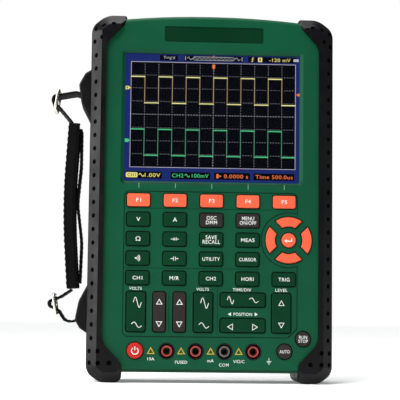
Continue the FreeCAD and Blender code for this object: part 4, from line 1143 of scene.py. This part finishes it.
def quilt(pad):
    """Two sewn channels along the sleeve press its cover in."""
    low = min(v.co.z for v in pad.data.vertices)
    for v in pad.data.vertices:
        press = math.exp(-((abs(v.co.y) - CHANNEL_Y * MM) / (CHANNEL_WIDTH * MM)) ** 2)
        wobble = 1 + 0.25 * math.sin((v.co.z - low) / MM * 1.1)
        line_x = pad_middle(v.co.z)
        v.co.x += (line_x - v.co.x) * CHANNEL_PRESS * press * wobble
    pad.data.update()


def pad_middle(z):
    """x of the sleeve's middle line at a height, both in metres."""
    (x0, z0), (x1, z1), (x2, z2) = [(p[0] * MM, p[1] * MM) for p in PAD_LINE]
    if z > z1:
        return x1 + (x0 - x1) * (z - z1) / (z0 - z1)
    return x1 + (x2 - x1) * (z1 - z) / (z1 - z2)


def tube_ring(bm, corners, radius, segments=10):
    """A closed wire loop through rounded corners: each is a point of a smooth closed path."""
    count = len(corners)
    rings = []
    for i in range(count):
        before, after = corners[i - 1], corners[(i + 1) % count]
        way = (after - before).normalized()
        side = way.cross(Vector((1, 0, 0))).normalized()
        out = way.cross(side).normalized()
        rings.append([bm.verts.new(corners[i] + side * (radius * math.cos(k * 2 * math.pi / segments))
                                   + out * (radius * math.sin(k * 2 * math.pi / segments)))
                      for k in range(segments)])
    skin(bm, rings + rings[:1])


def make_buckles():
    """Plated wire frames with a centre bar, leaning as the webbing pulls them."""
    bm = bmesh.new()
    for x, z, lean in BUCKLES:
        place = Matrix.Translation((x * MM, 0, z * MM)) @ Matrix.Rotation(math.radians(lean), 4, "Y")
        half_y, half_z = 12.5 - BUCKLE_WIRE, 7.5 - BUCKLE_WIRE
        outline = rounded(-half_y, -half_z, half_y, half_z, 2.0, 6)
        tube_ring(bm, [place @ (Vector((0, y, z)) * MM) for y, z in outline], BUCKLE_WIRE * MM)
        bar = bmesh.ops.create_cone(bm, cap_ends=True, segments=14, radius1=BUCKLE_BAR * MM,
                                    radius2=BUCKLE_BAR * MM, depth=2 * half_y * MM)
        turn = place @ Matrix.Rotation(math.pi / 2, 4, "X")
        bmesh.ops.transform(bm, matrix=turn, verts=bar["verts"])
    buckles = finish_piece("strap_buckle_frames", bm, BUCKLE, HOME, 40)
    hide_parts("strap_buckles")


# ---------------------------------------------------------------- stage and light

WORLD_POWER, FLOOR_GLOW = 0.2, 0.2


def make_stage():
    n = Nodes("studio_floor")
    mottle = n.remap(n.noise(6, 3), 0.3, 0.7, 0.97, 1.0)
    n.set(colour=n.gray(mottle), rough=0.9, specular=0.1, glow=(1, 1, 1, 1), glow_strength=FLOOR_GLOW)
    mesh = bpy.data.meshes.new("studio_floor")
    reach = 4.0
    mesh.from_pydata([(-reach, -reach, 0), (reach, -reach, 0), (reach, reach, 0), (-reach, reach, 0)], [],
                     [(0, 1, 2, 3)])
    mesh.materials.append(n.material)
    add_object("studio_floor", mesh)

    world = bpy.data.worlds.new("studio")
    bpy.context.scene.world = world
    world.use_nodes = True
    tree = world.node_tree
    tree.nodes.clear()
    out = tree.nodes.new("ShaderNodeOutputWorld")
    mixer = tree.nodes.new("ShaderNodeMixShader")
    ray = tree.nodes.new("ShaderNodeLightPath")
    seen, soft = tree.nodes.new("ShaderNodeBackground"), tree.nodes.new("ShaderNodeBackground")
    seen.inputs["Color"].default_value = (1, 1, 1, 1)
    seen.inputs["Strength"].default_value = 1.0
    soft.inputs["Color"].default_value = (0.95, 0.97, 1, 1)
    soft.inputs["Strength"].default_value = WORLD_POWER
    tree.links.new(ray.outputs["Is Camera Ray"], mixer.inputs[0])
    tree.links.new(soft.outputs[0], mixer.inputs[1])
    tree.links.new(seen.outputs[0], mixer.inputs[2])
    tree.links.new(mixer.outputs[0], out.inputs[0])


SUN_POWER, SUN_SPREAD, SUN_WAY = 2.6, 34, (0.55, 0.66, -0.85)


def aim(lamp, way):
    lamp.rotation_mode = "QUATERNION"
    lamp.rotation_quaternion = way.to_track_quat("-Z", "Y")


def area_light(name, at, target, size, power):
    data = bpy.data.lights.new(name, "AREA")
    data.shape = "RECTANGLE"
    data.size, data.size_y = size
    data.energy = power
    lamp = add_object(name, data)
    lamp.location = at
    aim(lamp, Vector(target) - Vector(at))


def make_lights():
    """A broad soft sun from the upper left front, a tall panel on the left and a weak one on top."""
    sun = bpy.data.lights.new("soft_sun", "SUN")
    sun.energy = SUN_POWER
    sun.angle = math.radians(SUN_SPREAD)
    aim(add_object("soft_sun", sun), Vector(SUN_WAY))
    area_light("left_panel", (-0.7, -0.05, 0.18), (0, 0, 0.12), (0.5, 0.7), 6.5)
    area_light("top_panel", (-0.1, 0.0, 0.9), (0, 0, 0.1), (0.8, 0.5), 6)
    bpy.context.scene.view_settings.view_transform = "Standard"


# ---------------------------------------------------------------- build

make_camera()
paint_cad()
make_grip(-1)
make_grip(1)
make_display()
make_lettering()
make_webbing()
make_pad()
make_buckles()
make_stage()
make_lights()
